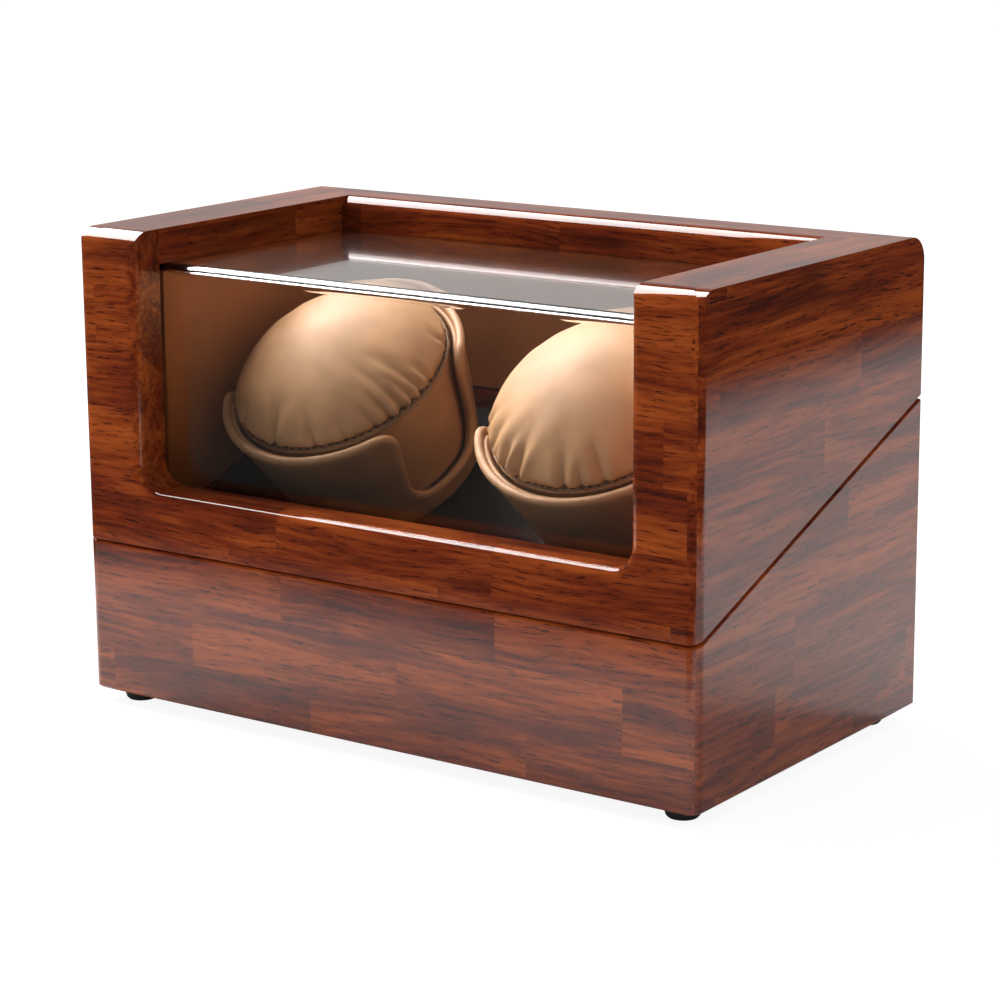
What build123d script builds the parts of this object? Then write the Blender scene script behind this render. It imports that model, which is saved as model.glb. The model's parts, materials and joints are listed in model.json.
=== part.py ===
from build123d import *
import os
from math import acos, cos, pi, radians, sin, tan

# A two-place watch winder box. Lengths are in millimetres and angles in degrees.
# +X runs along the front, +Y from the front to the back, +Z up. The origin is under the
# middle of the box, on the surface that its feet stand on.

os.makedirs("parts", exist_ok=True)

# ---- overall sizes ----------------------------------------------------------------------
BOX_WIDTH = 250.0
BOX_DEPTH = 142.0
BOX_HEIGHT = 163.0  # the wooden box alone, without its feet
SEAM_FRONT = 54.0  # height of the base at its front
SEAM_REAR = 108.5  # height of the base at its rear
SEAM_GAP = 0.8  # between the closed lid and the base

# ---- wooden walls -----------------------------------------------------------------------
SIDE_WALL = 25.0
FRONT_WALL = 14.0
REAR_WALL = 27.5
CORNER_RADIUS = 4.0  # upright front corners
TOP_RADIUS = 8.5  # front and rear top edges of the lid
RAIL_RADIUS = 6.0  # inner top edge of the rear rail
SEAM_RADIUS = 1.0  # edges along the seam
BOTTOM_CHAMFER = 0.8
BOTTOM_BOARD = 6.0
BOTTOM_INSET = 1.5  # the bottom board sits this far above the walls' lower edge
BOARD_FIT = 0.2  # gap round boards that drop in between walls

# ---- window -----------------------------------------------------------------------------
WINDOW_SILL = 74.5  # height of the window's lower edge
WINDOW_CORNER = 8.0
WINDOW_EDGE = 3.8  # rounding of the window's front edge
PANE_THICKNESS = 2.8
PANE_BEND = 4.0  # outer radius of the bend
PANE_DROP = 12.0  # top of the pane below the top of the lid
PANE_LAP = 9.0  # the pane reaches this far below the window's lower edge
REBATE = 3.0  # depth of the rebate that holds the pane and the linings
LINING_FIT = 0.2  # the pane and linings clear the rebate by this much
BASE_LINING = 0.8
LINING_STEP = 0.5  # the linings stop this far from the seam

# ---- cups, counted from the rim along the tilted spindle axis ----------------------------
CUP_TILT = 34.0
CUP_RIM_RADIUS = 44.5
CUP_BASE_RADIUS = 35.0
CUP_DEPTH = 45.0
CUP_WALL = 2.2
CUP_FLOOR = 2.5
CUP_RIM_HEIGHT = 111.0  # height of the rim's centre above the underside of the box
CUP_SIDE_GAP = 1.2  # from the rim to the side lining
CUP_FRONT_GAP = 3.3  # from the rim to the pane
LINER_WALL = 1.6
LINER_DROP = 1.2  # the liner's rim sits this far below the shell's
NOTCH_WIDTH = 38.0
NOTCH_DEPTH = 38.0
NOTCH_CORNER = 11.0
EAR_CORNER = 6.0
CUP_TURN = -7.5  # resting direction of the notches
TURNTABLE_RADIUS = 27.0
TURNTABLE_THICKNESS = 2.0
SPINDLE_RADIUS = 3.0
RUNNING_GAP = 0.05  # radial clearance of a shaft in its bush
SCREW_RING = 18.0
CUP_SCREW = 1.2
CUP_SCREW_STOP = 0.3  # a screw's end stays this far inside the turntable
RIM_FLAT = 0.2  # flat left between the two roundings of a cup's rim

# ---- cushions ---------------------------------------------------------------------------
CUSHION_RIM_GAP = 1.9  # from the liner's inner edge to the cushion's seam
CUSHION_SEAM = 1.3  # height of the seam above the rim
CUSHION_DOME = 20.5  # height of the dome above the seam
CUSHION_GAP = 0.4
CUSHION_LIFT = 2.0  # room for the cup's screw heads
CUSHION_RADIUS = CUP_RIM_RADIUS - CUP_WALL - LINER_WALL - CUSHION_RIM_GAP

# ---- platform and drive -----------------------------------------------------------------
PLATFORM_GAP = 1.0  # under the turntable
PLATFORM_LINING = 1.0
PLATFORM_BOARD = 5.0
CLEAT_SIZE = 9.0
CLEAT_MARGIN = 16.0  # from the platform's ends to a cleat's
BLOCK_SIZE = 12.0  # glue blocks in the corners that the bottom board screws to
BLOCK_HEIGHT = 9.0
BOARD_SCREW = 1.5
BOARD_SCREW_LENGTH = 13.0
PLATFORM_SCREW_LENGTH = 12.0
BUSH_WALL = 2.0
BUSH_FLANGE = 1.5
GEAR_MODULE = 1.0
GEAR_TEETH = 48
PINION_TEETH = 16
GEAR_WIDTH = 6.0
GEAR_BACKLASH = 0.16
PRESSURE_ANGLE = 20.0
GEAR_CLEARANCE = 1.5  # gear face to the bush above it
GEAR_PLATE = 2.0
HUB_GAP = 0.5  # gear hub to the bush below it
MOTOR_DIRECTION = -30.0  # of the left motor seen from its spindle
MOTOR_RADIUS = 12.3
GEARBOX_RADIUS = 12.5
GEARBOX_LENGTH = 11.0
MOTOR_LENGTH = 18.0
MOTOR_SHAFT = 2.0
MOTOR_BOSS = 4.0
BOSS_RADIUS = 3.8  # boss of the gearbox in its plate
SHAFT_SEAT = 9.0  # depth of the shaft's seat below the plate's face
SHAFT_END_GAP = 0.5  # from a shaft's end to the bottom of its seat
MOTOR_CHAMFER = 1.0
MOTOR_BOSS_HEIGHT = 2.0
MOTOR_SCREW = 1.25
MOTOR_SCREW_RING = 8.5
MOTOR_SCREW_BITE = 4.0  # thread in the gearbox
GEAR_HOLE = 3.5
GEAR_HOLE_RING = 14.0
GEAR_HUB = 2.0
GEAR_HUB_RADIUS = 6.0
POST_RADIUS = 3.0
POST_MARGIN = 3.0  # from the drive gear's teeth to a post
POST_BACK = 10.0  # two posts stand this far back from the motor's axis
POST_SPREAD = 25.0
POST_STUD = 1.5
POST_THREAD = 5.0
POST_SCREW = 1.25
STUD_STOP = 1.0  # a post's stud stops this far inside the platform board
PLATE_EDGE = 1.5  # rim of a gear plate round its posts
DRIVE_ROOM = 1.0  # least room round the gears and plates, cut into the rear wall where it is short
SPINDLE_PROUD = 1.0  # end of a spindle below its gear plate
SPINDLE_CHAMFER = 0.5

# ---- hinges -----------------------------------------------------------------------------
HINGE_SPACING = 140.0
LEAF_LENGTH = 40.0
LEAF_WIDTH = 15.0
LEAF_THICKNESS = 1.2
BARREL_RADIUS = 2.5
BARREL_OFFSET = 2.9  # hinge axis behind the rear face
LEAF_EDGE = 3.1  # where the leaf stops before the axis
PIN_RADIUS = 1.2
PIN_PROUD = 0.5  # at each end of a hinge pin
KNUCKLES = 5
KNUCKLE_GAP = 0.3
LEAF_SCREWS = 24.0  # spacing of the two screws in a leaf
LEAF_SCREW = 1.25
LEAF_SCREW_LENGTH = 11.0
BUMPER_RADIUS = 4.0
BUMPER_INSET = 10.0
BUMPER_GAP = 0.3

# ---- feet -------------------------------------------------------------------------------
FOOT_HEIGHT = 5.0
FOOT_TOP_RADIUS = 7.0
FOOT_BASE_RADIUS = 5.5
FOOT_INSET = 12.0
FOOT_CHAMFER = 0.7
FOOT_BORE = 3.4  # recess for the screw's head
FOOT_SINK = 2.0  # depth of the recess
FOOT_SCREW = 1.5
FOOT_SCREW_LENGTH = 13.0

# ---- rear controls ----------------------------------------------------------------------
PLATE_WIDTH = 96.0
PLATE_HEIGHT = 38.0
PLATE_THICKNESS = 1.5
PLATE_RISE = 34.0  # middle of the plate above the underside of the box
POCKET_MARGIN = 7.0  # the pocket is this much smaller than the plate on each side
KNOB_SPACING = 60.0
KNOB_RADIUS = 8.0
KNOB_HEIGHT = 11.0
KNOB_GAP = 0.6
KNOB_SHAFT = 3.0
SWITCH_SIZE = 15.0
SWITCH_DEPTH = 9.0
BOARD_THICKNESS = 1.6
INLET_WIDTH = 9.0
INLET_HEIGHT = 11.0
INLET_NOSE = 4.0
INLET_BORE = 2.75
INLET_PIN = 1.0
INLET_LIP = 0.5
PANEL_SCREW_INSET = 4.0
SWITCH_COLLAR = 4.2
KNOB_STEM = 6.5  # reach of a knob's stem behind the rear face
KNOB_FLUTES = 20
CHIP_HEIGHT = 1.5
CHIP_LENGTH = 10.0
CHIP_WIDTH = 8.0
CHIP_SPREAD = 12.0
BOARD_MARGIN = 1.0  # from the board's edge to the pocket
PLATE_CORNER = 3.0
PLATE_CHAMFER = 0.4
PANEL_SCREW = 1.3
PANEL_SCREW_LENGTH = 9.0
SWITCH_CORNER = 1.0
INLET_BACK = 1.0  # wall behind the inlet's bore
FLUTE_OFFSET = 0.35  # a flute's centre outside the knob
FLUTE_RADIUS = 0.8
KNOB_ROUND = 0.25
POINTER_WIDTH = 1.0
POINTER_MARGIN = 2.0
POINTER_DEPTH = 0.6

# ---- places that follow from the sizes above ---------------------------------------------
HALF = BOX_WIDTH / 2
REAR_PROUD = PLATE_THICKNESS + KNOB_GAP + KNOB_HEIGHT
FRONT_Y = -(BOX_DEPTH + REAR_PROUD) / 2
REAR_Y = FRONT_Y + BOX_DEPTH
FLOOR_Z = FOOT_HEIGHT
TOP_Z = FLOOR_Z + BOX_HEIGHT
INNER_X = HALF - SIDE_WALL
INNER_FRONT = FRONT_Y + FRONT_WALL
INNER_REAR = REAR_Y - REAR_WALL
SEAM_SLOPE = (SEAM_REAR - SEAM_FRONT) / BOX_DEPTH
SEAM_TILT = Vector(0, BOX_DEPTH, SEAM_REAR - SEAM_FRONT).get_angle(Vector(0, 1, 0))
HALF_GAP = SEAM_GAP / 2 / cos(radians(SEAM_TILT))
PANE_TOP = TOP_Z - PANE_DROP
PANE_BACK = INNER_FRONT + PANE_THICKNESS

TILT = radians(CUP_TILT)
RIM_X = INNER_X - CUP_SIDE_GAP - CUP_RIM_RADIUS
RIM_Y = PANE_BACK + CUP_FRONT_GAP + CUP_RIM_RADIUS * cos(TILT)
RIM_Z = FLOOR_Z + CUP_RIM_HEIGHT
TURNTABLE_LEVEL = CUP_DEPTH
PLATFORM_LEVEL = TURNTABLE_LEVEL + TURNTABLE_THICKNESS + PLATFORM_GAP
BOARD_LEVEL = PLATFORM_LEVEL + PLATFORM_LINING
BOARD_UNDERSIDE = BOARD_LEVEL + PLATFORM_BOARD
GEAR_LEVEL = BOARD_UNDERSIDE + BUSH_FLANGE + GEAR_CLEARANCE
PLATE_LEVEL = GEAR_LEVEL + GEAR_WIDTH + GEAR_HUB + HUB_GAP + BUSH_FLANGE
GEAR_DISTANCE = GEAR_MODULE * (GEAR_TEETH + PINION_TEETH) / 2

SIDES = (("left", -1), ("right", 1))
CORNERS = [(sx, sy) for sx in (-1, 1) for sy in (-1, 1)]


def seam_z(y, lift=0.0):
    """Height of the middle of the seam at y, raised by lift."""
    return FLOOR_Z + SEAM_FRONT + SEAM_SLOPE * (y - FRONT_Y) + lift


def rim_plane(sign, level, turn=0.0):
    """Plane across a cup's axis, level below the rim, with local X turned about the axis."""
    centre = Vector(sign * RIM_X, RIM_Y, RIM_Z)
    axis = Vector(0, -sin(TILT), cos(TILT))
    turn = radians(turn)
    across = Vector(cos(turn), sin(turn) * cos(TILT), sin(turn) * sin(TILT))
    return Plane(centre - axis * level, x_dir=across, z_dir=axis)


def motor_turn(sign):
    """Direction from a spindle to its motor; the right side mirrors the left."""
    return MOTOR_DIRECTION if sign < 0 else 180.0 - MOTOR_DIRECTION


def motor_plane(sign, level):
    """Plane across a motor's axis, level below the rim, with local X away from the spindle."""
    plane = rim_plane(sign, level, motor_turn(sign))
    return Plane(plane.from_local_coords((GEAR_DISTANCE, 0, 0)), x_dir=plane.x_dir, z_dir=plane.z_dir)


def hinge_plane(sign):
    """Plane along the seam at a hinge: local X along the pin, local Y towards the rear."""
    y = REAR_Y + BARREL_OFFSET
    slope = radians(SEAM_TILT)
    centre = (sign * HINGE_SPACING / 2, y, seam_z(y))
    return Plane(centre, x_dir=(1, 0, 0), z_dir=(0, -sin(slope), cos(slope)))


def platform_z(y, level):
    """Height at y of the plane that lies level below the rims."""
    y_level = RIM_Y + level * sin(TILT)
    z_level = RIM_Z - level * cos(TILT)
    return z_level + (y - y_level) * tan(TILT)


def gear_outline(teeth, turn=0.0):
    """Points of an involute gear with one tooth centred turn radians from local +X."""
    pitch = GEAR_MODULE * teeth / 2
    base = pitch * cos(radians(PRESSURE_ANGLE))
    root = pitch - 1.25 * GEAR_MODULE
    tip = pitch + GEAR_MODULE
    start = max(base, root)

    def involute(r):
        phi = acos(min(1.0, base / r))
        return tan(phi) - phi

    half = pi / (2 * teeth) - GEAR_BACKLASH / (2 * pitch) + involute(pitch)
    radii = [start + (tip - start) * k / 3 for k in range(4)]
    flank = [(root, half - involute(start))] + [(r, half - involute(r)) for r in radii]
    if root >= base:
        flank = flank[1:]
    tooth = [(r, -a) for r, a in flank] + [(r, a) for r, a in reversed(flank)]
    points = []
    for k in range(teeth):
        middle = 2 * pi * k / teeth + turn
        points += [(r * cos(middle + a), r * sin(middle + a)) for r, a in tooth]
    return points


def finish(piece, name):
    """Label a finished piece and write it to its own file."""
    piece.part.label = name
    export_step(piece.part, f"parts/{name}.step")


# ---- screws and other small repeated shapes ----------------------------------------------
def countersunk_screw(radius, length, recess=0.8):
    """A countersunk screw: head flush with local Z = 0, shank pointing down, cross recess on top."""
    with BuildPart() as screw:
        with BuildSketch(Plane.XZ):
            with BuildLine():
                Polyline((0, 0), (2 * radius, 0), (radius, -radius), (radius, radius - length),
                         (0, -length), close=True)
            make_face()
        revolve(axis=Axis.Z)
        if recess:
            for turn in (0, 90):
                with Locations(Location((0, 0, 0), (0, 0, turn))):
                    Box(2.2 * radius, 0.3 * radius, recess,
                        align=(Align.CENTER, Align.CENTER, Align.MAX), mode=Mode.SUBTRACT)
    return screw.part


def countersunk_holes(planes, radius, length):
    """The holes that countersunk screws of this size fill, to be cut from wood or metal."""
    with BuildPart() as holes:
        with Locations(*planes):
            add(countersunk_screw(radius, length, recess=0))
    return holes.part


def pan_screw(radius, length):
    """A pan-head screw: shank below local Z = 0 and head above it."""
    with BuildPart() as screw:
        Cylinder(radius, length, align=(Align.CENTER, Align.CENTER, Align.MAX))
        Cylinder(1.9 * radius, 1.2 * radius, align=(Align.CENTER, Align.CENTER, Align.MIN))
        fillet(screw.faces().sort_by(Axis.Z)[-1].edges(), 0.5 * radius)
        for turn in (0, 90):
            with Locations(Location((0, 0, 1.2 * radius), (0, 0, turn))):
                Box(2 * radius, 0.3 * radius, 0.6 * radius,
                    align=(Align.CENTER, Align.CENTER, Align.MAX), mode=Mode.SUBTRACT)
    return screw.part


# ---- feet: tapered rubber with a sunk screw ----------------------------------------------
foot_places = [
    (sx * (HALF - FOOT_INSET), (FRONT_Y + REAR_Y) / 2 + sy * (BOX_DEPTH / 2 - FOOT_INSET))
    for sx, sy in CORNERS
]
with BuildPart() as foot_screws:
    with Locations(*[Plane((x, y, FOOT_SINK), x_dir=(1, 0, 0), z_dir=(0, 0, -1)) for x, y in foot_places]):
        add(pan_screw(FOOT_SCREW, FOOT_SCREW_LENGTH))
finish(foot_screws, "foot_screws")

with BuildPart() as foot:
    with BuildSketch(Plane.XZ):
        with BuildLine():
            Polyline(
                (FOOT_SCREW, FOOT_HEIGHT), (FOOT_TOP_RADIUS, FOOT_HEIGHT),
                (FOOT_BASE_RADIUS, FOOT_CHAMFER), (FOOT_BASE_RADIUS - FOOT_CHAMFER, 0),
                (FOOT_BORE, 0), (FOOT_BORE, FOOT_SINK), (FOOT_SCREW, FOOT_SINK), close=True,
            )
        make_face()
    revolve(axis=Axis.Z)

with BuildPart() as rubber_feet:
    with Locations(*foot_places):
        add(foot.part)
finish(rubber_feet, "rubber_feet")

# ---- hinges ------------------------------------------------------------------------------
leaf_screw_spots = [(k * LEAF_SCREWS / 2, -LEAF_EDGE - LEAF_WIDTH / 2) for k in (-1, 1)]


def hinge_leaf(sign, face):
    """One leaf with its knuckles; face is -1 for the base's leaf and 1 for the lid's."""
    plane = hinge_plane(sign)
    pitch = LEAF_LENGTH / KNUCKLES
    own = [k for k in range(KNUCKLES) if k % 2 == (0 if face < 0 else 1)]
    starts = [(k - KNUCKLES / 2) * pitch + KNUCKLE_GAP / 2 for k in own]
    middle = SEAM_GAP / 2 + LEAF_THICKNESS / 2
    bore = PIN_RADIUS if face < 0 else PIN_RADIUS + RUNNING_GAP
    with BuildPart() as leaf:
        with Locations(Location(plane)):
            with Locations((0, -LEAF_EDGE - LEAF_WIDTH / 2, face * middle)):
                Box(LEAF_LENGTH, LEAF_WIDTH, LEAF_THICKNESS)
            for start in starts:
                with Locations((start, -LEAF_EDGE, face * middle)):
                    Box(pitch - KNUCKLE_GAP, LEAF_EDGE, LEAF_THICKNESS,
                        align=(Align.MIN, Align.MIN, Align.CENTER))
                with Locations(Location((start, 0, 0), (0, 90, 0))):
                    Cylinder(BARREL_RADIUS, pitch - KNUCKLE_GAP,
                             align=(Align.CENTER, Align.CENTER, Align.MIN))
            with Locations(Location((0, 0, 0), (0, 90, 0))):
                Cylinder(bore, 2 * LEAF_LENGTH, mode=Mode.SUBTRACT)
    return leaf.part


def leaf_screw_planes(face):
    """Where the leaf screws go, head outwards on the leaf's open face."""
    planes = []
    for _, sign in SIDES:
        plane = hinge_plane(sign)
        for x, y in leaf_screw_spots:
            spot = plane.from_local_coords((x, y, face * SEAM_GAP / 2))
            planes.append(Plane(spot, x_dir=plane.x_dir, z_dir=plane.z_dir * -face))
    return planes


with BuildPart() as hinge_base_screws:
    with Locations(*leaf_screw_planes(-1)):
        add(countersunk_screw(LEAF_SCREW, LEAF_SCREW_LENGTH))

with BuildPart() as hinge_lid_screws:
    with Locations(*leaf_screw_planes(1)):
        add(countersunk_screw(LEAF_SCREW, LEAF_SCREW_LENGTH))

hinge_base_holes = countersunk_holes(leaf_screw_planes(-1), LEAF_SCREW, LEAF_SCREW_LENGTH)
hinge_lid_holes = countersunk_holes(leaf_screw_planes(1), LEAF_SCREW, LEAF_SCREW_LENGTH)

with BuildPart() as hinge_pins:
    with Locations(*[Location(hinge_plane(sign)) * Location((0, 0, 0), (0, 90, 0)) for _, sign in SIDES]):
        Cylinder(PIN_RADIUS, LEAF_LENGTH + 2 * PIN_PROUD)

with BuildPart() as hinge_base_leaves:
    for _, sign in SIDES:
        add(hinge_leaf(sign, -1))
    add(hinge_base_holes, mode=Mode.SUBTRACT)

with BuildPart() as hinge_lid_leaves:
    for _, sign in SIDES:
        add(hinge_leaf(sign, 1))
    add(hinge_lid_holes, mode=Mode.SUBTRACT)

finish(hinge_base_screws, "hinge_base_screws")
finish(hinge_lid_screws, "hinge_lid_screws")
finish(hinge_pins, "hinge_pins")
finish(hinge_base_leaves, "hinge_base_leaves")
finish(hinge_lid_leaves, "hinge_lid_leaves")


def leaf_mortises(face):
    """The shallow pockets that take the leaves, open at the rear."""
    reach = LEAF_EDGE + LEAF_WIDTH
    with BuildPart() as mortises:
        for _, sign in SIDES:
            with Locations(Location(hinge_plane(sign))):
                with Locations((0, -reach - BOARD_FIT / 2, face * (SEAM_GAP / 2 + LEAF_THICKNESS / 2))):
                    Box(LEAF_LENGTH + BOARD_FIT, reach, LEAF_THICKNESS,
                        align=(Align.CENTER, Align.MIN, Align.CENTER))
    return mortises.part


# ---- wooden blanks, which are cut into walls that meet at mitres -------------------------
def plan_outline():
    """Plan of the box with its rounded front corners, as a sketch on the ground."""
    with BuildSketch() as plan:
        with BuildLine():
            Polyline((-HALF, FRONT_Y), (HALF, FRONT_Y), (HALF, REAR_Y), (-HALF, REAR_Y), close=True)
        make_face()
        fillet(plan.vertices().group_by(Axis.Y)[0], CORNER_RADIUS)
    return plan.sketch


def wall_region(*points):
    """A tall prism over a plan outline, used to cut one wall from a blank."""
    with BuildPart() as region:
        with BuildSketch():
            with BuildLine():
                Polyline(*points, close=True)
            make_face()
        extrude(amount=2 * TOP_Z)
    return region.part


front_region = wall_region(
    (-HALF, FRONT_Y), (HALF, FRONT_Y), (HALF - FRONT_WALL, INNER_FRONT), (-HALF + FRONT_WALL, INNER_FRONT)
)
rear_region = wall_region(
    (-HALF, REAR_Y), (-INNER_X, REAR_Y - SIDE_WALL), (-INNER_X, INNER_REAR), (INNER_X, INNER_REAR),
    (INNER_X, REAR_Y - SIDE_WALL), (HALF, REAR_Y),
)
side_regions = {
    side: wall_region(
        (sign * HALF, FRONT_Y), (sign * (HALF - FRONT_WALL), INNER_FRONT), (sign * INNER_X, INNER_FRONT),
        (sign * INNER_X, REAR_Y - SIDE_WALL), (sign * HALF, REAR_Y),
    )
    for side, sign in SIDES
}

with BuildPart() as base_blank:
    with BuildSketch():
        add(plan_outline())
    extrude(amount=TOP_Z)
    with BuildSketch(Plane.YZ):
        with BuildLine():
            Polyline(
                (FRONT_Y, FLOOR_Z), (REAR_Y, FLOOR_Z), (REAR_Y, seam_z(REAR_Y, -HALF_GAP)),
                (FRONT_Y, seam_z(FRONT_Y, -HALF_GAP)), close=True,
            )
        make_face()
    extrude(amount=HALF, both=True, mode=Mode.INTERSECT)
    fillet(base_blank.faces().sort_by(Axis.Z)[-1].edges(), SEAM_RADIUS)
    chamfer(base_blank.faces().sort_by(Axis.Z)[0].edges(), BOTTOM_CHAMFER)
    with BuildSketch(Plane.XY.offset(FLOOR_Z)):
        with BuildLine():
            Polyline((-INNER_X, INNER_FRONT), (INNER_X, INNER_FRONT), (INNER_X, INNER_REAR),
                     (-INNER_X, INNER_REAR), close=True)
        make_face()
    extrude(amount=TOP_Z, mode=Mode.SUBTRACT)
    add(foot_screws.part, mode=Mode.SUBTRACT)
    add(leaf_mortises(-1), mode=Mode.SUBTRACT)
    add(hinge_base_holes, mode=Mode.SUBTRACT)

with BuildPart() as lid_blank:
    with BuildSketch():
        add(plan_outline())
    extrude(amount=2 * TOP_Z)
    with BuildSketch(Plane.XY):
        with BuildLine():
            Polyline((-INNER_X, INNER_FRONT), (INNER_X, INNER_FRONT), (INNER_X, INNER_REAR),
                     (-INNER_X, INNER_REAR), close=True)
        make_face()
    extrude(amount=2 * TOP_Z, mode=Mode.SUBTRACT)
    # the window: open at the top, with rounded lower corners
    with BuildSketch(Plane.XZ.offset(-INNER_FRONT)) as window:
        with BuildLine():
            Polyline((-INNER_X, FLOOR_Z + WINDOW_SILL), (INNER_X, FLOOR_Z + WINDOW_SILL),
                     (INNER_X, 2 * TOP_Z), (-INNER_X, 2 * TOP_Z), close=True)
        make_face()
        fillet(window.vertices().group_by(Axis.Y)[0], WINDOW_CORNER)
    extrude(amount=FRONT_WALL, mode=Mode.SUBTRACT)
    front_edges = lid_blank.edges().filter_by_position(Axis.Y, FRONT_Y - 0.01, FRONT_Y + 0.01)
    fillet(
        [
            edge for edge in front_edges
            if abs(edge.center().X) < INNER_X + 0.01 and 1.0 < edge.center().Z < 2 * TOP_Z - 1.0
        ],
        WINDOW_EDGE,
    )
    # rebate for the pane and the linings, with a shoulder above the pane
    with BuildSketch(Plane.XY):
        with BuildLine():
            Polyline((-INNER_X - REBATE, INNER_FRONT), (INNER_X + REBATE, INNER_FRONT),
                     (INNER_X + REBATE, INNER_REAR + REBATE), (-INNER_X - REBATE, INNER_REAR + REBATE),
                     close=True)
        make_face()
    extrude(amount=PANE_TOP, mode=Mode.SUBTRACT)
    # side view of the lid: slanted lower edge and rounded top edges
    with BuildSketch(Plane.YZ) as profile:
        with BuildLine():
            Polyline(
                (FRONT_Y, seam_z(FRONT_Y, HALF_GAP)), (REAR_Y, seam_z(REAR_Y, HALF_GAP)),
                (REAR_Y, TOP_Z), (FRONT_Y, TOP_Z), close=True,
            )
        make_face()
        fillet(profile.vertices().group_by(Axis.Y)[-1], TOP_RADIUS)
    extrude(amount=HALF, both=True, mode=Mode.INTERSECT)
    # rounded inner top edge of the rear rail
    with BuildSketch(Plane.YZ):
        with BuildLine():
            Polyline((INNER_REAR, TOP_Z - RAIL_RADIUS), (INNER_REAR, TOP_Z),
                     (INNER_REAR + RAIL_RADIUS, TOP_Z))
            RadiusArc((INNER_REAR + RAIL_RADIUS, TOP_Z), (INNER_REAR, TOP_Z - RAIL_RADIUS), -RAIL_RADIUS)
        make_face()
    extrude(amount=INNER_X, both=True, mode=Mode.SUBTRACT)
    add(leaf_mortises(1), mode=Mode.SUBTRACT)
    add(hinge_lid_holes, mode=Mode.SUBTRACT)

with BuildPart() as lid_front_frame:
    add(lid_blank.part)
    add(front_region, mode=Mode.INTERSECT)
finish(lid_front_frame, "lid_front_frame")

with BuildPart() as lid_rear_panel:
    add(lid_blank.part)
    add(rear_region, mode=Mode.INTERSECT)
finish(lid_rear_panel, "lid_rear_panel")

for side, sign in SIDES:
    with BuildPart() as lid_side:
        add(lid_blank.part)
        add(side_regions[side], mode=Mode.INTERSECT)
    finish(lid_side, f"lid_{side}_side")

with BuildPart() as base_front_wall:
    add(base_blank.part)
    add(front_region, mode=Mode.INTERSECT)
finish(base_front_wall, "base_front_wall")

# ---- bottom board ------------------------------------------------------------------------
BOTTOM_Z = FLOOR_Z + BOTTOM_INSET
block_places = [
    (sx * (INNER_X - BLOCK_SIZE / 2), (INNER_FRONT + INNER_REAR) / 2
     + sy * ((INNER_REAR - INNER_FRONT) / 2 - BLOCK_SIZE / 2))
    for sx, sy in CORNERS
]
block_planes = [Plane((x, y, BOTTOM_Z), x_dir=(1, 0, 0), z_dir=(0, 0, -1)) for x, y in block_places]
with BuildPart() as bottom_screws:
    with Locations(*block_planes):
        add(countersunk_screw(BOARD_SCREW, BOARD_SCREW_LENGTH))
finish(bottom_screws, "bottom_screws")
bottom_holes = countersunk_holes(block_planes, BOARD_SCREW, BOARD_SCREW_LENGTH)

with BuildPart() as bottom_board:
    with BuildSketch(Plane.XY.offset(BOTTOM_Z)):
        with Locations((0, (INNER_FRONT + INNER_REAR) / 2)):
            Rectangle(2 * (INNER_X - BOARD_FIT), INNER_REAR - INNER_FRONT - 2 * BOARD_FIT)
    extrude(amount=BOTTOM_BOARD)
    add(bottom_holes, mode=Mode.SUBTRACT)
finish(bottom_board, "bottom_board")

# ---- platform: lining, board and the cleats that carry it ---------------------------------
PLATFORM_END = min(INNER_REAR, RIM_Y + PLATFORM_LEVEL * sin(TILT) + CUP_RIM_RADIUS * cos(TILT))
platform_x = INNER_X - BASE_LINING - BOARD_FIT
platform_front = INNER_FRONT + BASE_LINING + BOARD_FIT
platform_rear = PLATFORM_END - BASE_LINING - BOARD_FIT


def sloped_slab(upper, lower, half_width, front, rear):
    """A slab between two levels below the rims, cut upright at its front and rear."""
    with BuildPart() as slab:
        with BuildSketch(Plane.YZ):
            with BuildLine():
                Polyline(
                    (front, platform_z(front, lower)), (rear, platform_z(rear, lower)),
                    (rear, platform_z(rear, upper)), (front, platform_z(front, upper)), close=True,
                )
            make_face()
        extrude(amount=half_width, both=True)
    return slab.part


cleat_front = platform_front + CLEAT_MARGIN
cleat_rear = platform_rear - CLEAT_MARGIN
platform_screw_spots = [
    (sx * (INNER_X - CLEAT_SIZE / 2 - BOARD_FIT), y)
    for sx in (-1, 1)
    for y in (cleat_front + CLEAT_MARGIN / 2, cleat_rear - CLEAT_MARGIN / 2)
]
platform_screw_planes = [
    Plane((x, y, platform_z(y, BOARD_LEVEL)), x_dir=(1, 0, 0), z_dir=(0, -sin(TILT), cos(TILT)))
    for x, y in platform_screw_spots
]
with BuildPart() as platform_screws:
    with Locations(*platform_screw_planes):
        add(countersunk_screw(BOARD_SCREW, PLATFORM_SCREW_LENGTH))
finish(platform_screws, "platform_screws")
platform_holes = countersunk_holes(platform_screw_planes, BOARD_SCREW, PLATFORM_SCREW_LENGTH)

bush_bore = SPINDLE_RADIUS + RUNNING_GAP
bush_radius = bush_bore + BUSH_WALL
flange_radius = bush_radius + BUSH_WALL
with BuildPart() as spindle_bushes:
    for _, sign in SIDES:
        with BuildSketch(rim_plane(sign, BOARD_UNDERSIDE + BUSH_FLANGE)):
            Circle(flange_radius)
        extrude(amount=BUSH_FLANGE)
        with BuildSketch(rim_plane(sign, BOARD_UNDERSIDE)):
            Circle(bush_radius)
        extrude(amount=PLATFORM_BOARD)
        with BuildSketch(rim_plane(sign, PLATE_LEVEL)):
            Circle(flange_radius)
        extrude(amount=BUSH_FLANGE)
        with BuildSketch(rim_plane(sign, PLATE_LEVEL + GEAR_PLATE)):
            Circle(bush_radius)
        extrude(amount=GEAR_PLATE)
        with BuildSketch(rim_plane(sign, PLATE_LEVEL + GEAR_PLATE)):
            Circle(bush_bore)
        extrude(amount=CUP_DEPTH, mode=Mode.SUBTRACT)
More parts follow.
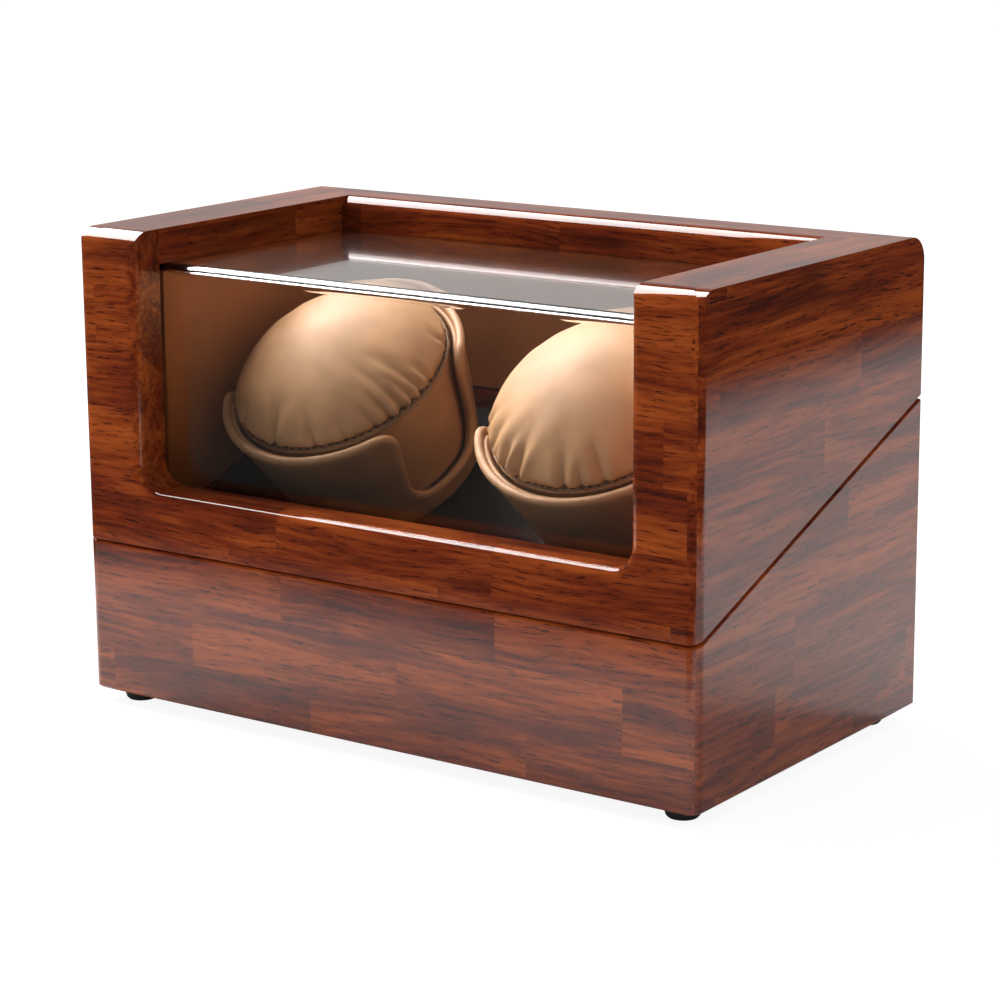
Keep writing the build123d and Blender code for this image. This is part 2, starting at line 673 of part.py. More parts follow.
finish(spindle_bushes, "spindle_bushes")


# ---- drive under the platform: posts, plates, gearboxes, motors and gears -----------------
post_spots = [
    (GEAR_DISTANCE - POST_BACK, POST_SPREAD),
    (GEAR_DISTANCE - POST_BACK, -POST_SPREAD),
    (-(GEAR_MODULE * (GEAR_TEETH / 2 + 1) + POST_MARGIN + POST_RADIUS), 0),
]
post_length = PLATE_LEVEL - BOARD_UNDERSIDE


def drive_planes(level):
    """One plane for each drive, level below the rims, local X from spindle to motor."""
    return [rim_plane(sign, level, motor_turn(sign)) for _, sign in SIDES]


def post_planes(level, facing=1):
    """A plane at every post, level below the rims; facing -1 turns local Z downwards."""
    return [
        Plane(plane.from_local_coords((x, y, 0)), x_dir=plane.x_dir, z_dir=plane.z_dir * facing)
        for plane in drive_planes(level)
        for x, y in post_spots
    ]


with BuildPart() as plate_screws:
    with Locations(*post_planes(PLATE_LEVEL + GEAR_PLATE, -1)):
        add(pan_screw(POST_SCREW, POST_THREAD + GEAR_PLATE))
finish(plate_screws, "plate_screws")

with BuildPart() as plate_posts:
    with Locations(*post_planes(PLATE_LEVEL)):
        Cylinder(POST_RADIUS, post_length, align=(Align.CENTER, Align.CENTER, Align.MIN))
        Cylinder(POST_STUD, post_length + PLATFORM_BOARD - STUD_STOP,
                 align=(Align.CENTER, Align.CENTER, Align.MIN))
    add(plate_screws.part, mode=Mode.SUBTRACT)
finish(plate_posts, "plate_posts")

motor_screw_spots = [(GEAR_DISTANCE, k * MOTOR_SCREW_RING) for k in (-1, 1)]
with BuildPart() as motor_screws:
    with Locations(
        *[
            Plane(plane.from_local_coords((x, y, 0)), x_dir=plane.x_dir, z_dir=plane.z_dir)
            for plane in drive_planes(PLATE_LEVEL)
            for x, y in motor_screw_spots
        ]
    ):
        add(pan_screw(MOTOR_SCREW, GEAR_PLATE + MOTOR_SCREW_BITE))
finish(motor_screws, "motor_screws")

def gear_plate_outline(plane, grow=0.0):
    """Outline of a gear plate round its posts and its motor, grown by a clearance."""
    with BuildSketch(plane) as outline:
        with BuildLine():
            Polyline(post_spots[2], post_spots[1], (GEAR_DISTANCE + MOTOR_RADIUS, 0), post_spots[0],
                     close=True)
        make_face()
        offset(amount=POST_RADIUS + PLATE_EDGE + grow)
    return outline.sketch


for side, sign in SIDES:
    plane = rim_plane(sign, PLATE_LEVEL + GEAR_PLATE, motor_turn(sign))
    with BuildPart() as gear_plate:
        with BuildSketch(plane):
            add(gear_plate_outline(Plane.XY))
            Circle(bush_radius, mode=Mode.SUBTRACT)
            with Locations((GEAR_DISTANCE, 0)):
                Circle(BOSS_RADIUS, mode=Mode.SUBTRACT)
        extrude(amount=GEAR_PLATE)
        add(plate_screws.part, mode=Mode.SUBTRACT)
        add(motor_screws.part, mode=Mode.SUBTRACT)
    finish(gear_plate, f"gear_plate_{side}")

    with BuildPart() as gearbox:
        with BuildSketch(motor_plane(sign, PLATE_LEVEL + GEAR_PLATE + GEARBOX_LENGTH)):
            Circle(GEARBOX_RADIUS)
        extrude(amount=GEARBOX_LENGTH)
        with BuildSketch(motor_plane(sign, PLATE_LEVEL + GEAR_PLATE)):
            Circle(BOSS_RADIUS)
        extrude(amount=GEAR_PLATE)
        with BuildSketch(motor_plane(sign, PLATE_LEVEL + SHAFT_SEAT)):
            Circle(MOTOR_SHAFT + RUNNING_GAP)
        extrude(amount=SHAFT_SEAT, mode=Mode.SUBTRACT)
        add(motor_screws.part, mode=Mode.SUBTRACT)
    finish(gearbox, f"gearbox_{side}")

    with BuildPart() as motor:
        with BuildSketch(motor_plane(sign, PLATE_LEVEL + GEAR_PLATE + GEARBOX_LENGTH + MOTOR_LENGTH)):
            Circle(MOTOR_RADIUS)
        extrude(amount=MOTOR_LENGTH)
        chamfer(motor.edges().group_by(Axis.Z)[0], MOTOR_CHAMFER)
        motor_end = PLATE_LEVEL + GEAR_PLATE + GEARBOX_LENGTH + MOTOR_LENGTH
        with BuildSketch(motor_plane(sign, motor_end + MOTOR_BOSS_HEIGHT)):
            Circle(MOTOR_BOSS)
        extrude(amount=MOTOR_BOSS_HEIGHT)
    finish(motor, f"motor_{side}")

    # a gap of the pinion faces the spindle, where the drive gear has a tooth
    with BuildPart() as pinion:
        with BuildSketch(motor_plane(sign, GEAR_LEVEL + GEAR_WIDTH)):
            with BuildLine():
                Polyline(*gear_outline(PINION_TEETH, pi / PINION_TEETH), close=True)
            make_face()
        extrude(amount=GEAR_WIDTH)
        with BuildSketch(motor_plane(sign, PLATE_LEVEL + SHAFT_SEAT - SHAFT_END_GAP)):
            Circle(MOTOR_SHAFT)
        extrude(amount=PLATE_LEVEL + SHAFT_SEAT - SHAFT_END_GAP - GEAR_LEVEL)
    finish(pinion, f"pinion_{side}")

    with BuildPart() as drive_gear:
        with BuildSketch(rim_plane(sign, GEAR_LEVEL + GEAR_WIDTH, motor_turn(sign))):
            with BuildLine():
                Polyline(*gear_outline(GEAR_TEETH), close=True)
            make_face()
            with PolarLocations(GEAR_HOLE_RING, 6):
                Circle(GEAR_HOLE, mode=Mode.SUBTRACT)
        extrude(amount=GEAR_WIDTH)
        with BuildSketch(rim_plane(sign, GEAR_LEVEL + GEAR_WIDTH + GEAR_HUB)):
            Circle(GEAR_HUB_RADIUS)
        extrude(amount=GEAR_HUB)
        with BuildSketch(rim_plane(sign, GEAR_LEVEL + GEAR_WIDTH + GEAR_HUB)):
            Circle(SPINDLE_RADIUS)
        extrude(amount=GEAR_HUB + GEAR_WIDTH, mode=Mode.SUBTRACT)
    finish(drive_gear, f"drive_gear_{side}")

# ---- platform board, lining and cleats, drilled for what passes through them ---------------
with BuildPart() as platform_board:
    add(sloped_slab(BOARD_LEVEL, BOARD_UNDERSIDE, platform_x, platform_front, platform_rear))
    for _, sign in SIDES:
        with BuildSketch(rim_plane(sign, BOARD_UNDERSIDE)):
            Circle(bush_radius)
        extrude(amount=PLATFORM_BOARD, mode=Mode.SUBTRACT)
    add(platform_holes, mode=Mode.SUBTRACT)
    add(plate_posts.part, mode=Mode.SUBTRACT)
finish(platform_board, "platform_board")

with BuildPart() as platform_lining:
    add(sloped_slab(PLATFORM_LEVEL, BOARD_LEVEL, platform_x, platform_front, platform_rear))
    for _, sign in SIDES:
        with BuildSketch(rim_plane(sign, BOARD_LEVEL)):
            Circle(bush_radius)
        extrude(amount=PLATFORM_LINING, mode=Mode.SUBTRACT)
finish(platform_lining, "platform_lining")

with BuildPart() as platform_cleats:
    add(sloped_slab(BOARD_UNDERSIDE, BOARD_UNDERSIDE + CLEAT_SIZE, INNER_X, cleat_front, cleat_rear))
    Box(2 * (INNER_X - CLEAT_SIZE), 2 * BOX_DEPTH, 4 * BOX_HEIGHT, mode=Mode.SUBTRACT)
    add(platform_holes, mode=Mode.SUBTRACT)
finish(platform_cleats, "platform_cleats")

with BuildPart() as corner_blocks:
    with BuildSketch(Plane.XY.offset(BOTTOM_Z + BOTTOM_BOARD)):
        with Locations(*block_places):
            Rectangle(BLOCK_SIZE, BLOCK_SIZE)
    extrude(amount=BLOCK_HEIGHT)
    add(bottom_holes, mode=Mode.SUBTRACT)
finish(corner_blocks, "corner_blocks")

with BuildPart() as base_linings:
    with BuildSketch(Plane.YZ.offset(-INNER_X)):
        with BuildLine():
            Polyline(
                (INNER_FRONT, platform_z(INNER_FRONT, PLATFORM_LEVEL)),
                (PLATFORM_END, platform_z(PLATFORM_END, PLATFORM_LEVEL)),
                (PLATFORM_END, seam_z(PLATFORM_END, -HALF_GAP - LINING_STEP)),
                (INNER_FRONT, seam_z(INNER_FRONT, -HALF_GAP - LINING_STEP)), close=True,
            )
        make_face()
    extrude(amount=2 * INNER_X)
    with BuildSketch(Plane.XY):
        with BuildLine():
            Polyline(
                (-INNER_X + BASE_LINING, INNER_FRONT + BASE_LINING),
                (INNER_X - BASE_LINING, INNER_FRONT + BASE_LINING),
                (INNER_X - BASE_LINING, REAR_Y), (-INNER_X + BASE_LINING, REAR_Y), close=True,
            )
        make_face()
    extrude(amount=2 * TOP_Z, mode=Mode.SUBTRACT)
finish(base_linings, "base_linings")

with BuildPart() as lid_bumpers:
    slope = radians(SEAM_TILT)
    bumper_y = FRONT_Y + BUMPER_INSET
    with BuildSketch(
        *[
            Plane((sign * (HALF - SIDE_WALL / 2), bumper_y, seam_z(bumper_y, -HALF_GAP)),
                  x_dir=(1, 0, 0), z_dir=(0, -sin(slope), cos(slope)))
            for _, sign in SIDES
        ]
    ):
        Circle(BUMPER_RADIUS)
    extrude(amount=SEAM_GAP - BUMPER_GAP)
finish(lid_bumpers, "lid_bumpers")

# ---- rear controls -----------------------------------------------------------------------
CONTROL_Z = FLOOR_Z + PLATE_RISE
knob_spots = [(-sign * KNOB_SPACING / 2, 0) for _, sign in SIDES]
rear_face = Plane((0, REAR_Y, CONTROL_Z), x_dir=(-1, 0, 0), z_dir=(0, 1, 0))
panel_spots = [
    (sx * (PLATE_WIDTH / 2 - PANEL_SCREW_INSET), sy * (PLATE_HEIGHT / 2 - PANEL_SCREW_INSET))
    for sx, sy in CORNERS
]
with BuildPart() as panel_screws:
    with Locations(
        *[
            Plane(rear_face.from_local_coords((x, y, PLATE_THICKNESS)), x_dir=(-1, 0, 0), z_dir=(0, 1, 0))
            for x, y in panel_spots
        ]
    ):
        add(pan_screw(PANEL_SCREW, PANEL_SCREW_LENGTH))
finish(panel_screws, "panel_screws")

with BuildPart() as control_plate:
    with BuildSketch(rear_face):
        RectangleRounded(PLATE_WIDTH, PLATE_HEIGHT, PLATE_CORNER)
        with Locations(*knob_spots):
            Circle(SWITCH_COLLAR, mode=Mode.SUBTRACT)
        Circle(INLET_NOSE, mode=Mode.SUBTRACT)
    extrude(amount=PLATE_THICKNESS)
    chamfer(control_plate.faces().sort_by(Axis.Y)[-1].outer_wire().edges(), PLATE_CHAMFER)
    add(panel_screws.part, mode=Mode.SUBTRACT)
finish(control_plate, "control_plate")

with BuildPart() as rotary_switches:
    with BuildSketch(rear_face.offset(-SWITCH_DEPTH)):
        with Locations(*knob_spots):
            RectangleRounded(SWITCH_SIZE, SWITCH_SIZE, SWITCH_CORNER)
    extrude(amount=SWITCH_DEPTH)
    with BuildSketch(rear_face):
        with Locations(*knob_spots):
            Circle(SWITCH_COLLAR)
    extrude(amount=PLATE_THICKNESS)
    with BuildSketch(rear_face.offset(-KNOB_STEM)):
        with Locations(*knob_spots):
            Circle(KNOB_SHAFT + RUNNING_GAP)
    extrude(amount=KNOB_STEM + PLATE_THICKNESS, mode=Mode.SUBTRACT)
finish(rotary_switches, "rotary_switches")

with BuildPart() as control_board:
    with BuildSketch(rear_face.offset(-SWITCH_DEPTH - BOARD_THICKNESS)):
        Rectangle(PLATE_WIDTH - 2 * (POCKET_MARGIN + BOARD_MARGIN),
                  PLATE_HEIGHT - 2 * (POCKET_MARGIN + BOARD_MARGIN))
    extrude(amount=BOARD_THICKNESS)
    with BuildSketch(rear_face.offset(-SWITCH_DEPTH - BOARD_THICKNESS - CHIP_HEIGHT)):
        with Locations((-CHIP_SPREAD, 0), (CHIP_SPREAD, 0)):
            Rectangle(CHIP_LENGTH, CHIP_WIDTH)
    extrude(amount=CHIP_HEIGHT)
finish(control_board, "control_board")

with BuildPart() as dc_inlet:
    with BuildSketch(rear_face.offset(-SWITCH_DEPTH)):
        Rectangle(INLET_WIDTH, INLET_HEIGHT)
    extrude(amount=SWITCH_DEPTH)
    with BuildSketch(rear_face):
        Circle(INLET_NOSE)
    extrude(amount=PLATE_THICKNESS + INLET_LIP)
    with BuildSketch(rear_face.offset(INLET_BACK - SWITCH_DEPTH)):
        Circle(INLET_BORE)
        Circle(INLET_PIN, mode=Mode.SUBTRACT)
    extrude(amount=SWITCH_DEPTH + PLATE_THICKNESS, mode=Mode.SUBTRACT)
finish(dc_inlet, "dc_inlet")

for index, (side, _) in enumerate(SIDES):
    knob_plane = rear_face.offset(PLATE_THICKNESS + KNOB_GAP)
    centre = knob_plane.from_local_coords((*knob_spots[index], 0))
    plane = Plane(centre, x_dir=rear_face.x_dir, z_dir=rear_face.z_dir)
    with BuildPart() as mode_knob:
        with BuildSketch(plane):
            Circle(KNOB_RADIUS)
            with PolarLocations(KNOB_RADIUS + FLUTE_OFFSET, KNOB_FLUTES):
                Circle(FLUTE_RADIUS, mode=Mode.SUBTRACT)
        extrude(amount=KNOB_HEIGHT)
        fillet(mode_knob.faces().sort_by(Axis.Y)[-1].edges(), KNOB_ROUND)
        with BuildSketch(plane.offset(KNOB_HEIGHT)):
            with Locations((0, KNOB_RADIUS / 2)):
                Rectangle(POINTER_WIDTH, KNOB_RADIUS - POINTER_MARGIN)
        extrude(amount=-POINTER_DEPTH, mode=Mode.SUBTRACT)
        with BuildSketch(plane):
            Circle(KNOB_SHAFT)
        extrude(amount=-(KNOB_GAP + PLATE_THICKNESS + KNOB_STEM - SHAFT_END_GAP))
    finish(mode_knob, f"mode_knob_{side}")

# ---- remaining base walls ----------------------------------------------------------------
with BuildPart() as base_rear_wall:
    add(base_blank.part)
    add(rear_region, mode=Mode.INTERSECT)
    with BuildSketch(rear_face):
        RectangleRounded(PLATE_WIDTH - 2 * POCKET_MARGIN, PLATE_HEIGHT - 2 * POCKET_MARGIN, PLATE_CORNER)
    extrude(amount=-2 * REAR_WALL, mode=Mode.SUBTRACT)
    add(panel_screws.part, mode=Mode.SUBTRACT)
    for plane in drive_planes(GEAR_LEVEL + GEAR_WIDTH + DRIVE_ROOM):
        with BuildSketch(plane):
            Circle(GEAR_MODULE * (GEAR_TEETH / 2 + 1) + DRIVE_ROOM)
        extrude(amount=GEAR_WIDTH + 2 * DRIVE_ROOM, mode=Mode.SUBTRACT)
    for plane in drive_planes(PLATE_LEVEL + GEAR_PLATE + DRIVE_ROOM):
        with BuildSketch(plane):
            add(gear_plate_outline(Plane.XY, DRIVE_ROOM))
        extrude(amount=GEAR_PLATE + 2 * DRIVE_ROOM, mode=Mode.SUBTRACT)
finish(base_rear_wall, "base_rear_wall")

for side, sign in SIDES:
    with BuildPart() as base_side:
        add(base_blank.part)
        add(side_regions[side], mode=Mode.INTERSECT)
    finish(base_side, f"base_{side}_wall")

# ---- window pane and lid linings -----------------------------------------------------------
pane_x = INNER_X + REBATE - LINING_FIT
pane_end = INNER_REAR + REBATE - LINING_FIT
lining_top = PANE_TOP - PANE_THICKNESS - LINING_FIT
with BuildPart() as window_pane:
    with BuildSketch(Plane.YZ) as bend:
        with BuildLine():
            Polyline(
                (INNER_FRONT, FLOOR_Z + WINDOW_SILL - PANE_LAP), (INNER_FRONT, PANE_TOP),
                (pane_end, PANE_TOP), (pane_end, PANE_TOP - PANE_THICKNESS),
                (PANE_BACK, PANE_TOP - PANE_THICKNESS), (PANE_BACK, FLOOR_Z + WINDOW_SILL - PANE_LAP),
                close=True,
            )
        make_face()
        fillet(bend.vertices().sort_by_distance((INNER_FRONT, PANE_TOP))[0], PANE_BEND)
        fillet(bend.vertices().sort_by_distance((PANE_BACK, PANE_TOP - PANE_THICKNESS))[0],
               PANE_BEND - PANE_THICKNESS)
    extrude(amount=pane_x, both=True)
finish(window_pane, "window_pane")


def lining_outline(front, rear):
    """Side view of a lid lining, from just above the seam to just under the pane."""
    lift = HALF_GAP + LINING_STEP
    return ((front, seam_z(front, lift)), (rear, seam_z(rear, lift)), (rear, lining_top),
            (front, lining_top))


lining_thickness = REBATE - LINING_FIT
with BuildPart() as lid_side_linings:
    with BuildSketch(Plane.YZ.offset(INNER_X), Plane.YZ.offset(-INNER_X - lining_thickness)) as side_lining:
        with BuildLine():
            Polyline(*lining_outline(PANE_BACK + LINING_FIT, pane_end), close=True)
        make_face()
        fillet(side_lining.vertices().group_by(Axis.Y)[-1].sort_by(Axis.X)[0], PANE_BEND - PANE_THICKNESS)
    extrude(amount=lining_thickness)
finish(lid_side_linings, "lid_side_linings")

with BuildPart() as lid_rear_lining:
    with BuildSketch(Plane.YZ):
        with BuildLine():
            Polyline(*lining_outline(INNER_REAR, INNER_REAR + lining_thickness), close=True)
        make_face()
    extrude(amount=INNER_X - LINING_FIT, both=True)
finish(lid_rear_lining, "lid_rear_lining")

# ---- cups and cushions, made upright with the rim at Z = 0 and then tilted into place -------
def cup_radius(level):
    """Outer radius of a cup, level below its rim."""
    return CUP_RIM_RADIUS + (CUP_BASE_RADIUS - CUP_RIM_RADIUS) * level / CUP_DEPTH


floor_level = CUP_DEPTH - CUP_FLOOR
half_notch = NOTCH_WIDTH / 2
with BuildPart() as notch:
    with BuildSketch(Plane.YZ) as notch_profile:
        with BuildLine():
            Polyline(
                (-2 * half_notch, 0), (-half_notch, 0), (-half_notch, -NOTCH_DEPTH),
                (half_notch, -NOTCH_DEPTH), (half_notch, 0), (2 * half_notch, 0),
                (2 * half_notch, CUP_WALL), (-2 * half_notch, CUP_WALL), close=True,
            )
        make_face()
        corners = notch_profile.vertices().filter_by_position(Axis.X, -half_notch - 0.1, half_notch + 0.1)
        fillet(corners.group_by(Axis.Y)[-1], EAR_CORNER)
        corners = notch_profile.vertices().group_by(Axis.Y)[0]
        fillet(corners, NOTCH_CORNER)
    extrude(amount=2 * CUP_RIM_RADIUS, both=True)

with BuildPart() as cup_screw_set:
    with PolarLocations(SCREW_RING, 3):
        with Locations((0, 0, -floor_level)):
            add(pan_screw(CUP_SCREW, CUP_FLOOR + TURNTABLE_THICKNESS - CUP_SCREW_STOP))

with BuildPart() as shell:
    with BuildSketch(Plane.XZ):
        with BuildLine():
            Polyline(
                (0, -CUP_DEPTH), (CUP_BASE_RADIUS, -CUP_DEPTH), (CUP_RIM_RADIUS, 0),
                (CUP_RIM_RADIUS - CUP_WALL, 0), (cup_radius(floor_level) - CUP_WALL, -floor_level),
                (0, -floor_level), close=True,
            )
        make_face()
    revolve(axis=Axis.Z)
    fillet(shell.edges().filter_by(GeomType.CIRCLE).group_by(Axis.Z)[-1], (CUP_WALL - RIM_FLAT) / 2)
    add(notch.part, mode=Mode.SUBTRACT)
    add(cup_screw_set.part, mode=Mode.SUBTRACT)

with BuildPart() as liner:
    with BuildSketch(Plane.XZ):
        with BuildLine():
            Polyline(
                (cup_radius(floor_level) - CUP_WALL, -floor_level),
                (cup_radius(LINER_DROP) - CUP_WALL, -LINER_DROP),
                (cup_radius(LINER_DROP) - CUP_WALL - LINER_WALL, -LINER_DROP),
                (cup_radius(floor_level) - CUP_WALL - LINER_WALL, -floor_level), close=True,
            )
        make_face()
    revolve(axis=Axis.Z)
    add(notch.part, mode=Mode.SUBTRACT)

cushion_base = floor_level - CUSHION_LIFT
with BuildPart() as pillow:
    with BuildSketch(Plane.XZ):
        with BuildLine():
            Polyline(
                (0, CUSHION_SEAM + CUSHION_DOME), (0, -cushion_base),
                (cup_radius(cushion_base) - CUP_WALL - LINER_WALL - CUSHION_GAP, -cushion_base),
                (CUSHION_RADIUS, CUSHION_SEAM),
            )
            Spline(
                (CUSHION_RADIUS, CUSHION_SEAM),
                (CUSHION_RADIUS * cos(pi / 4), CUSHION_SEAM + CUSHION_DOME * sin(pi / 4)),
                (0, CUSHION_SEAM + CUSHION_DOME),
                tangents=((0, 1), (-1, 0)),
            )
        make_face()
    revolve(axis=Axis.Z)

spindle_end = PLATE_LEVEL + GEAR_PLATE + SPINDLE_PROUD
for side, sign in SIDES:
    cup_place = Location(rim_plane(sign, 0, CUP_TURN))
    with BuildPart() as cup_shell:
        with Locations(cup_place):
            add(shell.part)
    finish(cup_shell, f"cup_shell_{side}")

    with BuildPart() as cup_liner:
        with Locations(cup_place):
            add(liner.part)
    finish(cup_liner, f"cup_liner_{side}")

    with BuildPart() as cup_screws:
        with Locations(cup_place):
            add(cup_screw_set.part)
    finish(cup_screws, f"cup_screws_{side}")

    with BuildPart() as turntable:
        with BuildSketch(rim_plane(sign, TURNTABLE_LEVEL + TURNTABLE_THICKNESS)):
            Circle(TURNTABLE_RADIUS)
            Circle(SPINDLE_RADIUS, mode=Mode.SUBTRACT)
        extrude(amount=TURNTABLE_THICKNESS)
        add(cup_screws.part, mode=Mode.SUBTRACT)
    finish(turntable, f"turntable_{side}")

    with BuildPart() as spindle:
        with BuildSketch(rim_plane(sign, spindle_end)):
            Circle(SPINDLE_RADIUS)
        extrude(amount=spindle_end - TURNTABLE_LEVEL)
        chamfer(spindle.edges().group_by(Axis.Z)[0], SPINDLE_CHAMFER)
    finish(spindle, f"spindle_{side}")

    with BuildPart() as cushion:
        with Locations(cup_place):
            add(pillow.part)
    finish(cushion, f"cushion_{side}")
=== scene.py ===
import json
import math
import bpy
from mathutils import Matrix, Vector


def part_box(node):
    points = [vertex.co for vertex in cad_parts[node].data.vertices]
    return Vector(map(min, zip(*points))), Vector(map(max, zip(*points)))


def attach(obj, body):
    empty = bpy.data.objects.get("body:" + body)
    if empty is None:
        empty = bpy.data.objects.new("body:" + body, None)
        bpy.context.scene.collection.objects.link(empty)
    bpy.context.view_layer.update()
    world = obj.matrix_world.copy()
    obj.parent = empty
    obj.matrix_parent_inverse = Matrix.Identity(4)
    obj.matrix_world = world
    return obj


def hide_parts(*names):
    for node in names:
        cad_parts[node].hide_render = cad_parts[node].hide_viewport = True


bl_info = {
    "name": "Watch Winder Box",
    "version": (1, 0, 0),
    "blender": (4, 5, 0),
    "location": "3D Viewport > Sidebar > Winder",
    "description": "Leather cups, stuffed cushions, finishes and a studio for a two-place watch winder box",
    "category": "Object",
}

import bpy
import numpy as np
from bpy.props import FloatProperty, FloatVectorProperty, PointerProperty
from mathutils import Matrix, Vector

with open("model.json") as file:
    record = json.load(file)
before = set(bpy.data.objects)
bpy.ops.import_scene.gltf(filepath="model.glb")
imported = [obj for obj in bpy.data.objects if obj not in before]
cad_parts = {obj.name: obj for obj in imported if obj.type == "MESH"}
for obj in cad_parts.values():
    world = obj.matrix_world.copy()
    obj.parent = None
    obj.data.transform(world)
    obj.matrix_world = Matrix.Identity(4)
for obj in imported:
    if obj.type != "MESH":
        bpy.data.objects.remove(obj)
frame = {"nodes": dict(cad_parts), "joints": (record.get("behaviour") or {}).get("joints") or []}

SIDES = ("left", "right")
JOINTS = {joint["name"]: joint for joint in frame["joints"]}
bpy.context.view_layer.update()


# ---- sizes and colours that a user would change -------------------------------------------
def length(name, description, default):
    """A length property in metres."""
    return FloatProperty(name=name, description=description, default=default, min=0.0, unit="LENGTH")


def colour(name, description, default):
    """A colour property, in linear values."""
    return FloatVectorProperty(
        name=name, description=description, default=default, size=3, min=0.0, max=1.0, subtype="COLOR"
    )


class WinderCupSizes(bpy.types.PropertyGroup):
    """Sizes of the two leather cups."""

    rim_radius: length("Rim radius", "Outer radius of a cup at its rim", 0.0445)
    base_radius: length("Base radius", "Outer radius of a cup at its base", 0.035)
    depth: length("Depth", "From the rim to the base along the spindle axis", 0.045)
    floor: length("Floor", "Thickness of the cup's floor", 0.0025)
    shell_wall: length("Shell wall", "Thickness of the outer shell", 0.0022)
    liner_wall: length("Liner wall", "Thickness of the inner liner", 0.0016)
    liner_drop: length("Liner drop", "How far the liner's edge stays inside the shell's", 0.0012)
    shell_bead: length("Shell bead", "Radius of the shell's rolled edge", 0.00155)
    liner_bead: length("Liner bead", "Radius of the liner's rolled edge", 0.00095)
    notch_width: length("Notch width", "Width of the openings on both sides", 0.038)
    notch_depth: length("Notch depth", "Depth of the openings below the rim", 0.038)
    notch_corner: length("Notch corner", "Radius of the lower corners of an opening", 0.011)
    ear_corner: length("Ear corner", "Radius where the rim falls into an opening", 0.006)
    turn: FloatProperty(
        name="Resting turn", description="Direction of the openings at rest", default=math.radians(-7.5),
        subtype="ANGLE",
    )


class WinderCushionSizes(bpy.types.PropertyGroup):
    """Sizes of the two stuffed cushions."""

    radius: length("Seam radius", "Radius of the seam round the dome", 0.0388)
    seam: length("Seam height", "Height of the seam above the cup's rim", 0.0013)
    dome: length("Dome height", "Height of the dome above the seam before stuffing", 0.0215)
    foot_radius: length("Foot radius", "Radius of the cushion at its base", 0.0319)
    foot: length("Foot depth", "Depth of the cushion's base below the rim", 0.0405)
    fullness: FloatProperty(
        name="Fullness", description="Power of the dome's profile: 1 is a cone and 2 an ellipse",
        default=1.72, min=1.0, max=3.0,
    )
    swell: length("Swell", "The most that stuffing may push the leather out", 0.0035)


class WinderColours(bpy.types.PropertyGroup):
    """Colours of the visible finishes."""

    wood_dark: colour("Wood, dark", "Dark streaks of the veneer", (0.035, 0.0060, 0.0040))
    wood_mid: colour("Wood, middle", "Ground of the veneer", (0.140, 0.0215, 0.0060))
    wood_light: colour("Wood, light", "Light stripes of the veneer", (0.325, 0.068, 0.0125))
    cushion: colour("Cushion", "Leather of the cushions", (0.600, 0.320, 0.148))
    cup: colour("Cup", "Leather of the cups", (0.460, 0.235, 0.105))
    # painted highlight: the colour laid along the rolled edges of the cups
    rim: colour("Rim", "Rolled edges of the cups", (0.560, 0.300, 0.145))
    lining: colour("Lining", "Leather lining of the lid", (0.520, 0.185, 0.060))
    floor_cloth: colour("Platform", "Dark lining under the cups", (0.008, 0.007, 0.007))


# ---- shader trees --------------------------------------------------------------------------
class Signal:
    """One output socket in a shader tree. Arithmetic on it adds Math nodes."""

    def __init__(self, tree, socket):
        self.tree = tree
        self.socket = socket

    def math(self, operation, *terms):
        """A Math node of that operation on the given terms."""
        return self.tree.node("ShaderNodeMath", {"operation": operation}, dict(enumerate(terms)))

    def __add__(self, other):
        return self.math("ADD", self, other)

    def __sub__(self, other):
        return self.math("SUBTRACT", self, other)

    def __mul__(self, other):
        return self.math("MULTIPLY", self, other)

    def __truediv__(self, other):
        return self.math("DIVIDE", self, other)

    def __rsub__(self, other):
        return self.math("SUBTRACT", other, self)

    __radd__ = __add__
    __rmul__ = __mul__

    def floor(self):
        return self.math("FLOOR", self)

    def step(self, low, high):
        """0 below low, 1 above high and a smooth curve between; low above high turns it round."""
        return self.tree.node(
            "ShaderNodeMapRange", {"interpolation_type": "SMOOTHSTEP"},
            {"Value": self, "From Min": low, "From Max": high},
        )


